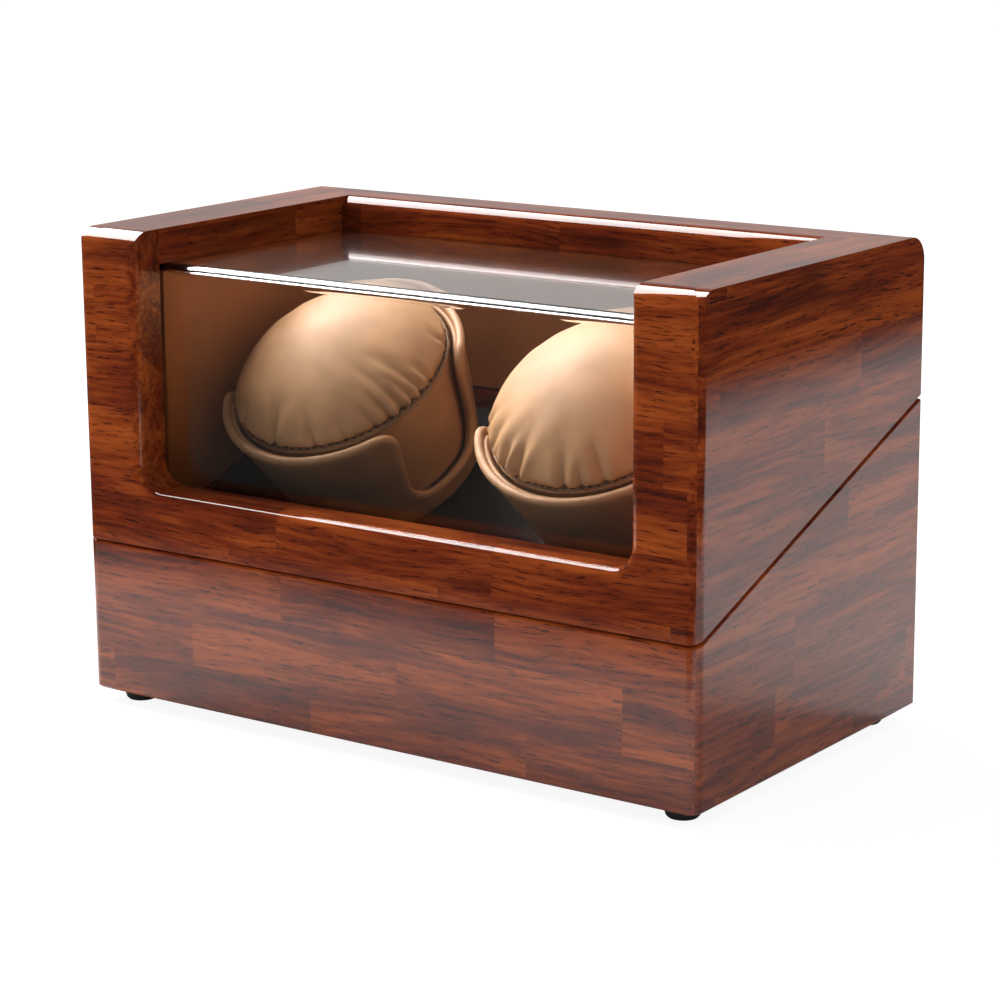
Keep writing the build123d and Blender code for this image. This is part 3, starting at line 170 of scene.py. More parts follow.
class Tree:
    """A material's or the world's node tree, filled through node()."""

    def __init__(self, owner):
        owner.use_nodes = True
        self.owner = owner
        self.nodes = owner.node_tree.nodes
        self.links = owner.node_tree.links
        self.nodes.clear()

    def node(self, kind, settings=None, sockets=None, output=0):
        """Adds a node: its settings first, then a value or a link for each named socket."""
        made = self.nodes.new(kind)
        settings = dict(settings or {})
        stops = settings.pop("stops", None)
        for key, value in settings.items():
            setattr(made, key, value)
        if stops:
            ramp = made.color_ramp
            while len(ramp.elements) < len(stops):
                ramp.elements.new(0.5)
            for element, (position, tint) in zip(ramp.elements, stops):
                element.position = position
                element.color = (*tint, 1.0)
        for key, value in (sockets or {}).items():
            if isinstance(value, Signal):
                self.links.new(value.socket, made.inputs[key])
            else:
                made.inputs[key].default_value = value
        return Signal(self, made.outputs[output]) if made.outputs else made

    def place(self):
        """The point in the piece's own coordinates, in metres."""
        return self.node("ShaderNodeTexCoord", output="Object")

    def parts(self, vector):
        """The three numbers of a vector."""
        split = self.node("ShaderNodeSeparateXYZ", sockets={0: vector})
        return [Signal(self, socket) for socket in split.socket.node.outputs]

    def vector(self, x, y, z):
        return self.node("ShaderNodeCombineXYZ", sockets={0: x, 1: y, 2: z})

    def stretched(self, vector, scale):
        """The vector with its three numbers multiplied by those of scale."""
        return self.node("ShaderNodeVectorMath", {"operation": "MULTIPLY"}, {0: vector, 1: scale})

    def noise(self, vector, scale=1.0, detail=2.0, roughness=0.5, distortion=0.0):
        return self.node(
            "ShaderNodeTexNoise", None,
            {"Vector": vector, "Scale": scale, "Detail": detail, "Roughness": roughness,
             "Distortion": distortion},
        )

    def mix(self, first, second, share, blend="MIX"):
        """Two colours mixed; share 0 is the first and 1 the second."""
        made = self.node("ShaderNodeMix", {"data_type": "RGBA", "blend_type": blend}, output=2)
        for key, value in ((0, share), (6, first), (7, second)):
            if isinstance(value, Signal):
                self.links.new(value.socket, made.socket.node.inputs[key])
            elif key:
                made.socket.node.inputs[key].default_value = (*value, 1.0)
            else:
                made.socket.node.inputs[key].default_value = value
        return made

    def ramp(self, share, *stops):
        return self.node("ShaderNodeValToRGB", {"stops": stops}, {"Fac": share})

    def attribute(self, name):
        """A number that the mesh carries at each point."""
        return self.node("ShaderNodeAttribute", {"attribute_name": name}, output="Fac")

    def bump(self, height, strength, distance):
        return self.node(
            "ShaderNodeBump", None, {"Height": height, "Strength": strength, "Distance": distance}
        )

    def principled(self, **sockets):
        named = {key.replace("_", " "): value for key, value in sockets.items()}
        return self.node("ShaderNodeBsdfPrincipled", None, named)

    def finish(self, shader):
        self.node("ShaderNodeOutputMaterial", None, {"Surface": shader})
        return self.owner


def new_material(name):
    return Tree(bpy.data.materials.new(name))


BLOCK_HEIGHT = 0.0215  # height of one stave of the veneer
BLOCK_LENGTH = 0.088
PORE_DARK = (0.020, 0.0055, 0.0045)


def veneer(name, along, shift, colours):
    """Lacquered veneer of glued staves: stretched noise gives stripes, streaks and pores along one axis,
    a random number for each stave shifts them, and a clear coat lies on top."""
    tree = new_material(name)
    x, y, z = tree.parts(tree.place())
    grain, across = (x, y) if along == "x" else (y, x)
    height = z + across * 0.83 + shift
    row = (height / BLOCK_HEIGHT).floor()
    row_chance = tree.node("ShaderNodeTexWhiteNoise", {"noise_dimensions": "1D"}, {"W": row})
    column = ((grain + row_chance * 0.37) / BLOCK_LENGTH).floor()
    stave = tree.vector(row, column, 0.0)
    chance = tree.node("ShaderNodeTexWhiteNoise", {"noise_dimensions": "2D"}, {"Vector": stave})
    wave = tree.noise(tree.vector(grain * 9.0 + chance * 5.0, across * 20.0, z * 22.0), detail=1.0)
    bent = z + (wave - 0.5) * 0.012
    spot = tree.vector(grain + chance * 0.9 + shift, across, bent)
    stripes = tree.noise(tree.stretched(spot, (9.0, 75.0, 75.0)), detail=4.0, roughness=0.55, distortion=0.6)
    streaks = tree.noise(tree.stretched(spot, (38.0, 620.0, 620.0)), detail=3.0, roughness=0.6)
    cloud = tree.noise(tree.stretched(spot, (14.0, 52.0, 52.0)), detail=2.0, roughness=0.5)
    pores = tree.noise(tree.stretched(spot, (170.0, 1900.0, 1900.0)), detail=1.0)
    tone = stripes.step(0.28, 0.72) * 0.62 + streaks.step(0.25, 0.75) * 0.38 + (chance - 0.5) * 0.12
    wood = tree.ramp(
        tone, (0.0, colours.wood_dark), (0.42, colours.wood_mid), (0.95, colours.wood_light)
    )
    wood = tree.mix(wood, colours.wood_dark, cloud.step(0.57, 0.72) * 0.50)
    wood = tree.mix(wood, PORE_DARK, pores.step(0.58, 0.66) * streaks.step(0.66, 0.44) * 0.75)
    roughness = 0.32 + stripes * 0.12
    return tree.finish(
        tree.principled(
            Base_Color=wood, Roughness=roughness, Specular_IOR_Level=0.0, Coat_Weight=1.0,
            Coat_Roughness=0.025, Coat_IOR=1.52,
        )
    )


def leather(name, ground, grain=0.0009, roughness=0.44, relief=0.22, pale=None):
    """Soft grained leather: cells and their creases as relief, clouded colour, painted shade where the mesh
    marks it and a painted highlight along a marked edge."""
    tree = new_material(name)
    place = tree.place()
    cloud = tree.noise(place, 55.0, 3.0, 0.55)
    cells = tree.node(
        "ShaderNodeTexVoronoi", {"feature": "DISTANCE_TO_EDGE"}, {"Vector": place, "Scale": 1.0 / grain}
    )
    pebble = tree.noise(place, 0.6 / grain, 3.0, 0.6)
    dark = tuple(0.84 * c for c in ground)
    light = tuple(min(1.0, 1.08 * c) for c in ground)
    hide = tree.mix(dark, light, cloud.step(0.30, 0.70))
    hide = tree.mix(hide, dark, cells.step(0.16, 0.02) * 0.35)
    # painted highlight: the leather takes this colour along the marked edge
    if pale is not None:
        hide = tree.mix(hide, pale, tree.attribute("edge"))
    # painted shade: darker where the mesh marks it, along a cushion's seam and in its fold valleys
    hide = tree.mix(hide, tuple(0.12 * c for c in ground), tree.attribute("painted_shade"))
    relief_height = cells.step(0.0, 0.25) * 0.6 + pebble * 0.5
    return tree.finish(
        tree.principled(
            Base_Color=hide, Roughness=roughness + (pebble - 0.5) * 0.16, IOR=1.45,
            Normal=tree.bump(relief_height, relief, 0.12 * grain),
        )
    )


def suede(name, ground):
    """Short dense nap: two sizes of noise in colour and relief, almost no gloss."""
    tree = new_material(name)
    place = tree.place()
    nap = tree.noise(place, 2600.0, 2.0, 0.7)
    brushed = tree.noise(place, 40.0, 2.0, 0.5)
    dark = tuple(0.55 * c for c in ground)
    pale = tuple(1.7 * c for c in ground)
    fibre = tree.mix(dark, pale, nap * 0.6 + brushed * 0.4)
    return tree.finish(
        tree.principled(Base_Color=fibre, Roughness=0.9, Normal=tree.bump(nap, 0.5, 0.0002))
    )


def brushed_metal(name, ground, scale, roughness):
    """Metal with fine marks drawn along one axis, which change its colour, roughness and relief a little."""
    tree = new_material(name)
    place = tree.place()
    marks = tree.noise(tree.stretched(place, scale), 1.0, 3.0, 0.6)
    stain = tree.noise(place, 120.0, 2.0, 0.5)
    metal = tree.mix(tuple(0.72 * c for c in ground), ground, marks * 0.6 + stain * 0.4)
    return tree.finish(
        tree.principled(
            Base_Color=metal, Metallic=1.0, Roughness=roughness + (marks - 0.5) * 0.22,
            Normal=tree.bump(marks, 0.12, 0.00005),
        )
    )


def moulded(name, ground, roughness, texture=0.0006):
    """Moulded plastic or rubber with a fine spark-eroded texture and slightly worn, paler high spots."""
    tree = new_material(name)
    place = tree.place()
    speck = tree.noise(place, 1.0 / texture, 2.0, 0.6)
    cloud = tree.noise(place, 60.0, 2.0, 0.5)
    body = tree.mix(ground, tuple(min(1.0, 1.5 * c + 0.004) for c in ground), speck * 0.5 + cloud * 0.5)
    return tree.finish(
        tree.principled(
            Base_Color=body, Roughness=roughness + (speck - 0.5) * 0.2,
            Normal=tree.bump(speck, 0.25, 0.00006),
        )
    )


def fibreboard(name):
    """Pressed fibre: short pale and dark fibres on a tan ground, matt."""
    tree = new_material(name)
    place = tree.place()
    fibres = tree.noise(tree.stretched(place, (900.0, 500.0, 1600.0)), 1.0, 3.0, 0.7)
    patches = tree.noise(place, 30.0, 2.0, 0.5)
    board = tree.ramp(
        fibres * 0.7 + patches * 0.3, (0.25, (0.16, 0.09, 0.045)), (0.55, (0.33, 0.21, 0.12)),
        (0.85, (0.50, 0.36, 0.23)),
    )
    return tree.finish(
        tree.principled(Base_Color=board, Roughness=0.85, Normal=tree.bump(fibres, 0.3, 0.0001))
    )


def circuit_board(name):
    """Green solder mask with faint copper tracks under it: a Voronoi pattern of straight cells."""
    tree = new_material(name)
    place = tree.place()
    tracks = tree.node(
        "ShaderNodeTexVoronoi", {"feature": "DISTANCE_TO_EDGE"},
        {"Vector": place, "Scale": 260.0, "Randomness": 0.35},
    )
    mask = tree.mix((0.010, 0.11, 0.035), (0.03, 0.20, 0.07), tracks.step(0.10, 0.04))
    return tree.finish(
        tree.principled(
            Base_Color=mask, Roughness=0.35, Coat_Weight=0.4, Normal=tree.bump(tracks, 0.1, 0.00005),
        )
    )


def clear_sheet(name):
    """Polished acrylic: it refracts by its own index under a softer coat that widens its highlights, and
    lets light through to what stands behind it."""
    tree = new_material(name)
    glass = tree.principled(
        Base_Color=(0.985, 0.99, 0.99, 1.0), Roughness=0.0, IOR=1.49, Transmission_Weight=1.0,
        Coat_Weight=0.6, Coat_Roughness=0.12, Coat_IOR=1.49,
    )
    through = tree.node("ShaderNodeBsdfTransparent", None, {"Color": (0.96, 0.97, 0.97, 1.0)})
    shadow = tree.node("ShaderNodeLightPath", output="Is Shadow Ray")
    return tree.finish(tree.node("ShaderNodeMixShader", None, {0: shadow, 1: glass, 2: through}))


# ---- meshes from whole arrays -----------------------------------------------------------------
def new_piece(name, points, faces, material, marks=None):
    """A smooth mesh object at the origin from points in metres; marks are numbers at each point."""
    mesh = bpy.data.meshes.new(name)
    mesh.from_pydata(points.tolist(), [], faces)
    for key, values in (marks or {}).items():
        mesh.attributes.new(key, "FLOAT", "POINT").data.foreach_set("value", values.astype(np.float32))
    mesh.shade_smooth()
    mesh.materials.append(material)
    piece = bpy.data.objects.new(name, mesh)
    bpy.context.scene.collection.objects.link(piece)
    return piece


def quads(upper, lower):
    """Faces between two rows of point numbers; they face out where lower lies below upper and the rows
    run anticlockwise seen from above."""
    return np.stack([upper[:-1], lower[:-1], lower[1:], upper[1:]], axis=-1)


def fan(row, pole):
    """Triangles from a row to one point above it."""
    return np.stack([np.full(len(row) - 1, pole), row[:-1], row[1:]], axis=-1)


def closed(row):
    """A row of point numbers that ends where it began."""
    return np.append(row, row[0])


def unit(vectors):
    return vectors / np.maximum(np.linalg.norm(vectors, axis=-1, keepdims=True), 1e-12)


def cup_frame(side, cups):
    """The cup's own axes as rows (across, up the slope, along the spindle) and the centre of its rim.
    They follow from the spindle's joint."""
    joint = JOINTS[f"cup_{side}_spin"]
    axis = unit(np.array(joint["axis"], float))
    centre = np.array(joint["pos_m"], float) + cups.depth * axis
    slope = np.cross(axis, (1.0, 0.0, 0.0))
    across = math.cos(cups.turn) * np.array((1.0, 0.0, 0.0)) + math.sin(cups.turn) * slope
    return np.array([across, np.cross(axis, across), axis]), centre


def to_row_frame(points, place):
    axes, centre = place
    return points @ axes + centre


# ---- cups ---------------------------------------------------------------------------------------
WING_COLUMNS = 112
ROUND_ROWS = 12
SIDE_ROWS = 14
NOTCH_COLUMNS = 22
BASE_ROWS = 8
BEAD_STEPS = 9
BEAD_BLEND = 1.5  # bead radii over which the wall swells into its rolled edge
RIM_HIGHLIGHT_REACH = 1.15  # bead radii over which the painted highlight fades away from the edge
FLOOR_RAISE = 0.0009  # how far the shell's outer floor stands above its base


def notch_edge(cups, inset):
    """Half width and level of an opening's edge, from the rim down to its floor: a quarter circle where
    the rim falls away, a straight side and a quarter circle into the floor. inset moves the edge into
    the wall."""
    turn = np.linspace(0.0, math.pi / 2, ROUND_ROWS)
    half = cups.notch_width / 2 + inset
    depth = cups.notch_depth + inset
    corner = cups.notch_corner + inset
    ear = cups.ear_corner
    side = np.linspace(inset + ear, depth - corner, SIDE_ROWS)[1:-1]
    width = np.concatenate([
        half + ear * (1 - np.sin(turn)), np.full(len(side), half), half - corner * (1 - np.cos(turn)),
    ])
    level = np.concatenate([
        inset + ear * (1 - np.cos(turn)), side, depth - corner + corner * np.sin(turn),
    ])
    return width, level


def cup_wall(cups, gap, inset, wall, bead, has_floor):
    """A tapered wall with two openings and one rolled edge all round, closed below.
    Each side of the wall is a cone: radius = rim + (base - rim) * level / depth, moved in or out by half
    the wall. Towards the edge the wall swells from its own half thickness to the bead's radius by a bell
    curve of the distance to the edge, and half circles across the edge join its two sides."""
    def radius(level):
        return cups.rim_radius + (cups.base_radius - cups.rim_radius) * level / cups.depth - gap - wall / 2

    width, level = notch_edge(cups, inset)
    left = np.arcsin(width / radius(level))
    share = (1 - np.cos(np.linspace(0, math.pi, WING_COLUMNS + 1))) / 2
    wing_turn = left[:, None] + (math.pi - 2 * left[:, None]) * share
    wing_level = np.broadcast_to(level[:, None], wing_turn.shape)
    gap_turn = np.linspace(math.pi - left[-1], math.pi + left[-1], NOTCH_COLUMNS + 1)[1:-1]
    ring_turn = np.concatenate([wing_turn[-1], gap_turn, wing_turn[-1] + math.pi, gap_turn + math.pi])
    wing_count = wing_turn.size
    turns = np.concatenate([wing_turn.ravel(), wing_turn.ravel() + math.pi, gap_turn, gap_turn + math.pi])
    levels = np.concatenate([wing_level.ravel()] * 2 + [np.full(2 * len(gap_turn), level[-1])])

    first = np.arange(wing_count).reshape(wing_turn.shape)
    second = first + wing_count
    first_gap = 2 * wing_count + np.arange(len(gap_turn))
    second_gap = first_gap + len(gap_turn)
    top_ring = np.concatenate([first[-1], first_gap, second[-1], second_gap])
    loop = np.concatenate([
        first[::-1, 0], first[0, 1:], first[1:, -1], first_gap,
        second[::-1, 0], second[0, 1:], second[1:, -1], second_gap,
    ])

    def rings(bottom):
        """Levels of the rows below the openings, closer together near their floor."""
        return level[-1] + (bottom - level[-1]) * np.linspace(0, 1, BASE_ROWS + 1)[1:] ** 1.6

    def cone(turn, at, out):
        """Points at an angle and level, moved out along the wall's normal."""
        slope = (cups.rim_radius - cups.base_radius) / cups.depth
        lean = 1 / math.hypot(1, slope)
        r = radius(at)
        normal = np.stack([np.cos(turn) * lean, np.sin(turn) * lean, np.full(turn.shape, -slope * lean)], -1)
        wall_points = np.stack([r * np.cos(turn), r * np.sin(turn), -at], -1)
        return wall_points + normal * np.asarray(out)[..., None], normal

    inner_floor = cups.depth - cups.floor
    middle, normal = cone(turns, levels, np.zeros(len(turns)))
    edge = middle[loop]
    reach = np.sqrt(((middle[:, None, :] - edge[None, ::2, :]) ** 2).sum(-1)).min(1)
    swell = wall / 2 + (bead - wall / 2) * np.exp(-((reach / (BEAD_BLEND * bead)) ** 2))

    # the third list is a painted highlight for each point: 1 on the rolled edge, fading away from it
    points, faces, rim_highlight = [], [], []
    start = 0
    loops = []
    for sign, bottom in ((1, cups.depth - FLOOR_RAISE if has_floor else inner_floor), (-1, inner_floor)):
        sheet = middle + sign * normal * swell[:, None]
        rows = [top_ring + start]
        extra = []
        for index, at in enumerate(rings(bottom)):
            ring, _ = cone(ring_turn, np.full(len(ring_turn), at), np.full(len(ring_turn), sign * wall / 2))
            extra.append(ring)
            rows.append(start + len(sheet) + index * len(ring_turn) + np.arange(len(ring_turn)))
        points += [sheet, *extra]
        far = np.concatenate([reach] + [np.full(len(ring_turn), at - level[-1]) for at in rings(bottom)])
        rim_highlight.append(np.exp(-((far / (RIM_HIGHLIGHT_REACH * bead)) ** 2)))
        made = [quads(w[i], w[i + 1]) for w in (first + start, second + start) for i in range(len(level) - 1)]
        made += [quads(closed(a), closed(b)) for a, b in zip(rows[:-1], rows[1:])]
        faces += [f if sign > 0 else f[:, ::-1] for f in made]
        loops.append((loop + start, rows[-1], bottom))
        start += len(sheet) + len(extra) * len(ring_turn)

    # the rolled edge: half circles from the outer side over the edge to the inner side
    tangent = unit(np.roll(edge, -1, 0) - np.roll(edge, 1, 0))
    outward = normal[loop]
    beyond = unit(np.cross(outward, tangent))
    angle = np.linspace(0, math.pi, BEAD_STEPS + 1)[1:-1, None, None]
    roll = edge + bead * (np.cos(angle) * outward + np.sin(angle) * beyond)
    numbers = start + np.arange(roll.shape[0] * roll.shape[1]).reshape(roll.shape[:2])
    points.append(roll.reshape(-1, 3))
    rim_highlight.append(np.ones(roll.shape[0] * roll.shape[1]))
    start += numbers.size
    rows = [loops[0][0], *numbers, loops[1][0]]
    faces += [quads(closed(b), closed(a)) for a, b in zip(rows[:-1], rows[1:])]

    def disc(row, at, out, radii, up):
        """Rings from a row in to a pole at its level, facing down the axis or up it."""
        nonlocal start
        last = row
        for share_in, drop in radii:
            r = (radius(at) + out) * share_in
            flat = np.full(len(ring_turn), -at - drop)
            ring = np.stack([r * np.cos(ring_turn), r * np.sin(ring_turn), flat], -1)
            here = start + np.arange(len(ring_turn))
            points.append(ring)
            rim_highlight.append(np.zeros(len(ring)))
            strip = quads(closed(last), closed(here))
            faces.append(strip[:, ::-1] if up else strip)
            start += len(ring)
            last = here
        points.append(np.array([[0.0, 0.0, -at - radii[-1][1]]]))
        rim_highlight.append(np.zeros(1))
        tip = fan(closed(last), start)
        faces.append(tip if up else tip[:, ::-1])
        start += 1

    if has_floor:
        disc(loops[0][1], loops[0][2], wall / 2, ((0.992, 0.0006), (0.972, 0.0009), (0.5, 0.0009)), False)
        disc(loops[1][1], inner_floor, -wall / 2, ((0.97, 0.0), (0.5, 0.0)), True)
    else:
        faces.append(quads(closed(loops[0][1]), closed(loops[1][1])))
    return np.concatenate(points), [f for block in faces for f in block.tolist()], np.concatenate(rim_highlight)


class WINDER_OT_cups(bpy.types.Operator):
    """Build the outer shell and the inner liner of both leather cups"""

    bl_idname = "winder.cups"
    bl_label = "Cups"

    def execute(self, context):
        cups = context.scene.winder_cups
        colours = context.scene.winder_colours
        # the cups' rolled edges get a painted highlight in the rim colour
        hide = leather("cup_leather", colours.cup, relief=0.16, roughness=0.50, pale=colours.rim)
        shell = cup_wall(cups, 0.0, 0.0, cups.shell_wall, cups.shell_bead, True)
        liner = cup_wall(cups, cups.shell_wall, cups.liner_drop, cups.liner_wall, cups.liner_bead, False)
        for side in SIDES:
            place = cup_frame(side, cups)
            for part, (points, faces, rim_highlight) in (("shell", shell), ("liner", liner)):
                piece = new_piece(
                    f"leather_cup_{part}_{side}", to_row_frame(points, place), faces, hide, {"edge": rim_highlight}
                )
                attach(piece, f"cup_{side}")
                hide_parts(f"cup_{part}_{side}")
        return {"FINISHED"}


# ---- cushions --------------------------------------------------------------------------------------
CUSHION_COLUMNS = 288
DOME_ROWS = 64
SIDE_BAND_ROWS = 44
FOOT_ROWS = 10
FOOT_ROUND = 0.004
CLOTH_VOXEL = 0.0028
CLOTH_PRESSURE = 4.0
CLOTH_FRAMES = 20
SEAM_HOLD = 0.0022  # cloth this near the seam doesn't move
FOOT_HOLD = 0.003
TUCKS = 74  # small tucks round the seam
STITCHES = 84
STITCH_LENGTH = 0.0021
STITCH_THICKNESS = 0.00028
LIP_DROP = 0.0013  # the lip's middle below the seam
LIP_THICKNESS = 0.00055
LIP_HEIGHT = 0.00075

# Gathers in the dome's leather: direction round the axis in degrees from +X, length up the dome, depth,
# half width and slant, in metres; a positive slant leans the upper end anticlockwise.
GATHERS = {
    "left": (
        (-128.0, 0.007, 0.0007, 0.0013, 0.000), (-117.0, 0.010, 0.0009, 0.0016, 0.001),
        (-104.0, 0.006, 0.0006, 0.0012, 0.000), (-88.0, 0.017, 0.0013, 0.0020, 0.001),
        (-63.0, 0.014, 0.0009, 0.0018, -0.003), (-47.0, 0.008, 0.0006, 0.0014, 0.000),
        (-31.0, 0.010, 0.0007, 0.0016, -0.002), (-22.0, 0.019, 0.0011, 0.0020, -0.004),
        (-14.0, 0.027, 0.0014, 0.0022, -0.006), (-7.0, 0.020, 0.0012, 0.0017, -0.004),
        (0.0, 0.026, 0.0012, 0.0020, -0.005), (8.0, 0.014, 0.0008, 0.0016, -0.002),
        (34.0, 0.010, 0.0007, 0.0016, 0.002), (78.0, 0.013, 0.0009, 0.0018, 0.000),
        (121.0, 0.009, 0.0008, 0.0016, 0.001), (163.0, 0.015, 0.0010, 0.0019, -0.002),
    ),
    "right": (
        (-146.0, 0.012, 0.0008, 0.0017, 0.002), (-128.0, 0.015, 0.0010, 0.0018, 0.001),
        (-112.0, 0.018, 0.0014, 0.0019, 0.002), (-101.0, 0.020, 0.0017, 0.0021, 0.001),
        (-73.0, 0.014, 0.0013, 0.0019, 0.001), (-64.0, 0.009, 0.0008, 0.0014, 0.000),
        (-52.0, 0.015, 0.0011, 0.0018, -0.001), (-31.0, 0.010, 0.0008, 0.0016, -0.002),
        (4.0, 0.017, 0.0012, 0.0020, -0.003), (47.0, 0.011, 0.0008, 0.0016, 0.001),
        (96.0, 0.014, 0.0010, 0.0018, 0.000), (158.0, 0.012, 0.0009, 0.0017, 0.001),
    ),
}


def cushion_profile(sizes):
    """Radius and height of the profile from the dome's top to the middle of the foot, and the signed
    distance along it from the seam. The dome is a superellipse, (r/R)^p + (z/H)^p = 1, the band below
    the seam a cone that bulges by a sine, and the foot a flat disc with a rounded edge."""
    def spaced(r, z, count, power):
        """count points along a fine line, closer together towards its last point."""
        run = np.concatenate([[0.0], np.cumsum(np.hypot(np.diff(r), np.diff(z)))])
        want = run[-1] * (1 - (1 - np.linspace(0, 1, count)) ** power)
        return np.interp(want, run, r), np.interp(want, run, z)

    bend = np.linspace(math.pi / 2, 0, 2000)
    power = 2 / sizes.fullness
    dome_r = sizes.radius * np.abs(np.cos(bend)) ** power
    dome_z = sizes.seam + sizes.dome * np.abs(np.sin(bend)) ** power
    dome_r, dome_z = spaced(dome_r, dome_z, DOME_ROWS, 1.5)
    fall = np.linspace(1, 0, 600)
    low = -sizes.foot + FOOT_ROUND
    band_z = low + (sizes.seam - low) * (1 - fall)
    band_r = sizes.foot_radius + (sizes.radius - sizes.foot_radius) * (1 - fall) ** 0.92
    band_r, band_z = spaced(band_r, band_z, SIDE_BAND_ROWS, 1.4)
    round_off = np.linspace(0, math.pi / 2, FOOT_ROWS)[1:]
    foot_r = sizes.foot_radius - FOOT_ROUND * (1 - np.cos(round_off))
    foot_z = low - FOOT_ROUND * np.sin(round_off)
    flat_r = foot_r[-1] * np.linspace(1, 0, FOOT_ROWS)[1:]
    r = np.concatenate([dome_r, band_r[::-1][1:], foot_r, flat_r])
    z = np.concatenate([dome_z, band_z[::-1][1:], foot_z, np.full(len(flat_r), foot_z[-1])])
    run = np.concatenate([[0.0], np.cumsum(np.hypot(np.diff(r), np.diff(z)))])
    return r, z, run[DOME_ROWS - 1] - run


def revolved(r, z):
    """Points of a profile turned round the axis, as rows by columns, without the two poles."""
    turn = np.linspace(0, 2 * math.pi, CUSHION_COLUMNS, endpoint=False)
    out = r[1:-1, None]
    height = np.broadcast_to(z[1:-1, None], (len(r) - 2, len(turn)))
    return np.stack([out * np.cos(turn), out * np.sin(turn), height], -1)


def grid_faces(rows, columns):
    """Faces of a grid that closes round its columns, with a pole above it and one below."""
    number = np.arange(rows * columns).reshape(rows, columns)
    blocks = [quads(closed(number[i]), closed(number[i + 1])) for i in range(rows - 1)]
    blocks += [fan(closed(number[0]), rows * columns), fan(closed(number[-1]), rows * columns + 1)[:, ::-1]]
    return [f for block in blocks for f in block.tolist()]


def grid_points(grid, top, bottom):
    return np.concatenate([grid.reshape(-1, 3), [top, bottom]])


def grid_normals(grid):
    """Outward normals of a grid that closes round its columns."""
    down = np.gradient(grid, axis=0)
    round_way = np.roll(grid, -1, 1) - np.roll(grid, 1, 1)
    return unit(np.cross(down, round_way))


def blurred(field, rows, columns, times):
    """A field on the grid averaged with its neighbours several times; columns close round."""
    for _ in range(times):
        wide = np.pad(field, ((rows, rows), (0, 0)), mode="edge")
        field = sum(wide[k:k + field.shape[0]] for k in range(2 * rows + 1)) / (2 * rows + 1)
        field = sum(np.roll(field, k, 1) for k in range(-columns, columns + 1)) / (2 * columns + 1)
    return field


def stuffed_push(form, mesh_points, faces, sizes):
    """How far stuffing pushes each grid point out, by a cloth simulation: a copy of the form is remeshed,
    pinned along the seam and the foot, and blown up by pressure, and the form is then wrapped on it."""
    shape = bpy.data.meshes.new("cushion_form")
    shape.from_pydata(mesh_points.tolist(), [], faces)
    soft = bpy.data.objects.new("cushion_form", shape)
    bpy.context.scene.collection.objects.link(soft)
    remesh = soft.modifiers.new("remesh", "REMESH")
    remesh.mode = "VOXEL"
    remesh.voxel_size = CLOTH_VOXEL
    depsgraph = bpy.context.evaluated_depsgraph_get()
    cloth_mesh = bpy.data.meshes.new_from_object(soft.evaluated_get(depsgraph))
    cloth = bpy.data.objects.new("cushion_cloth", cloth_mesh)
    bpy.context.scene.collection.objects.link(cloth)
    start = np.zeros(len(cloth_mesh.vertices) * 3)
    cloth_mesh.vertices.foreach_get("co", start)
    start = start.reshape(-1, 3)
    across = np.hypot(start[:, 0], start[:, 1])
    seam_distance = np.hypot(across - sizes.radius, start[:, 2] - sizes.seam)
    held = (seam_distance < SEAM_HOLD) | (start[:, 2] < -sizes.foot + FOOT_HOLD)
    group = cloth.vertex_groups.new(name="held")
    group.add(np.flatnonzero(held).tolist(), 1.0, "REPLACE")
    modifier = cloth.modifiers.new("cloth", "CLOTH")
    settings = modifier.settings
    settings.vertex_group_mass = "held"
    settings.quality = 5
    settings.mass = 0.2
    settings.tension_stiffness = 12.0
    settings.compression_stiffness = 12.0
    settings.shear_stiffness = 6.0
    settings.bending_stiffness = 0.8
    settings.use_pressure = True
    settings.uniform_pressure_force = CLOTH_PRESSURE
    settings.effector_weights.gravity = 0.0
    modifier.point_cache.frame_start = 1
    modifier.point_cache.frame_end = CLOTH_FRAMES
    scene = bpy.context.scene
    for number in range(1, CLOTH_FRAMES + 1):
        scene.frame_set(number)
    depsgraph = bpy.context.evaluated_depsgraph_get()
    blown = bpy.data.meshes.new_from_object(cloth.evaluated_get(depsgraph))
    end = np.zeros(len(blown.vertices) * 3)
    blown.vertices.foreach_get("co", end)
    move = end.reshape(-1, 3) - start
    size = np.linalg.norm(move, axis=1, keepdims=True)
    move *= np.minimum(1.0, sizes.swell / np.maximum(size, 1e-9))
    cloth.modifiers.clear()
    cloth_mesh.vertices.foreach_set("co", (start + move).ravel())
    cloth_mesh.update()
    soft.modifiers.clear()
    wrap = soft.modifiers.new("wrap", "SHRINKWRAP")
    wrap.target = cloth
    wrap.wrap_method = "NEAREST_SURFACEPOINT"
    depsgraph = bpy.context.evaluated_depsgraph_get()
    wrapped = bpy.data.meshes.new_from_object(soft.evaluated_get(depsgraph))
    out = np.zeros(len(wrapped.vertices) * 3)
    wrapped.vertices.foreach_get("co", out)
    scene.frame_set(1)
    out = out.reshape(-1, 3)[:-2].reshape(form.shape)
    push = ((out - form) * grid_normals(form)).sum(-1)
    for used in (soft, cloth):
        bpy.data.objects.remove(used)
    for used in (shape, cloth_mesh, blown, wrapped):
        bpy.data.meshes.remove(used)
    return push


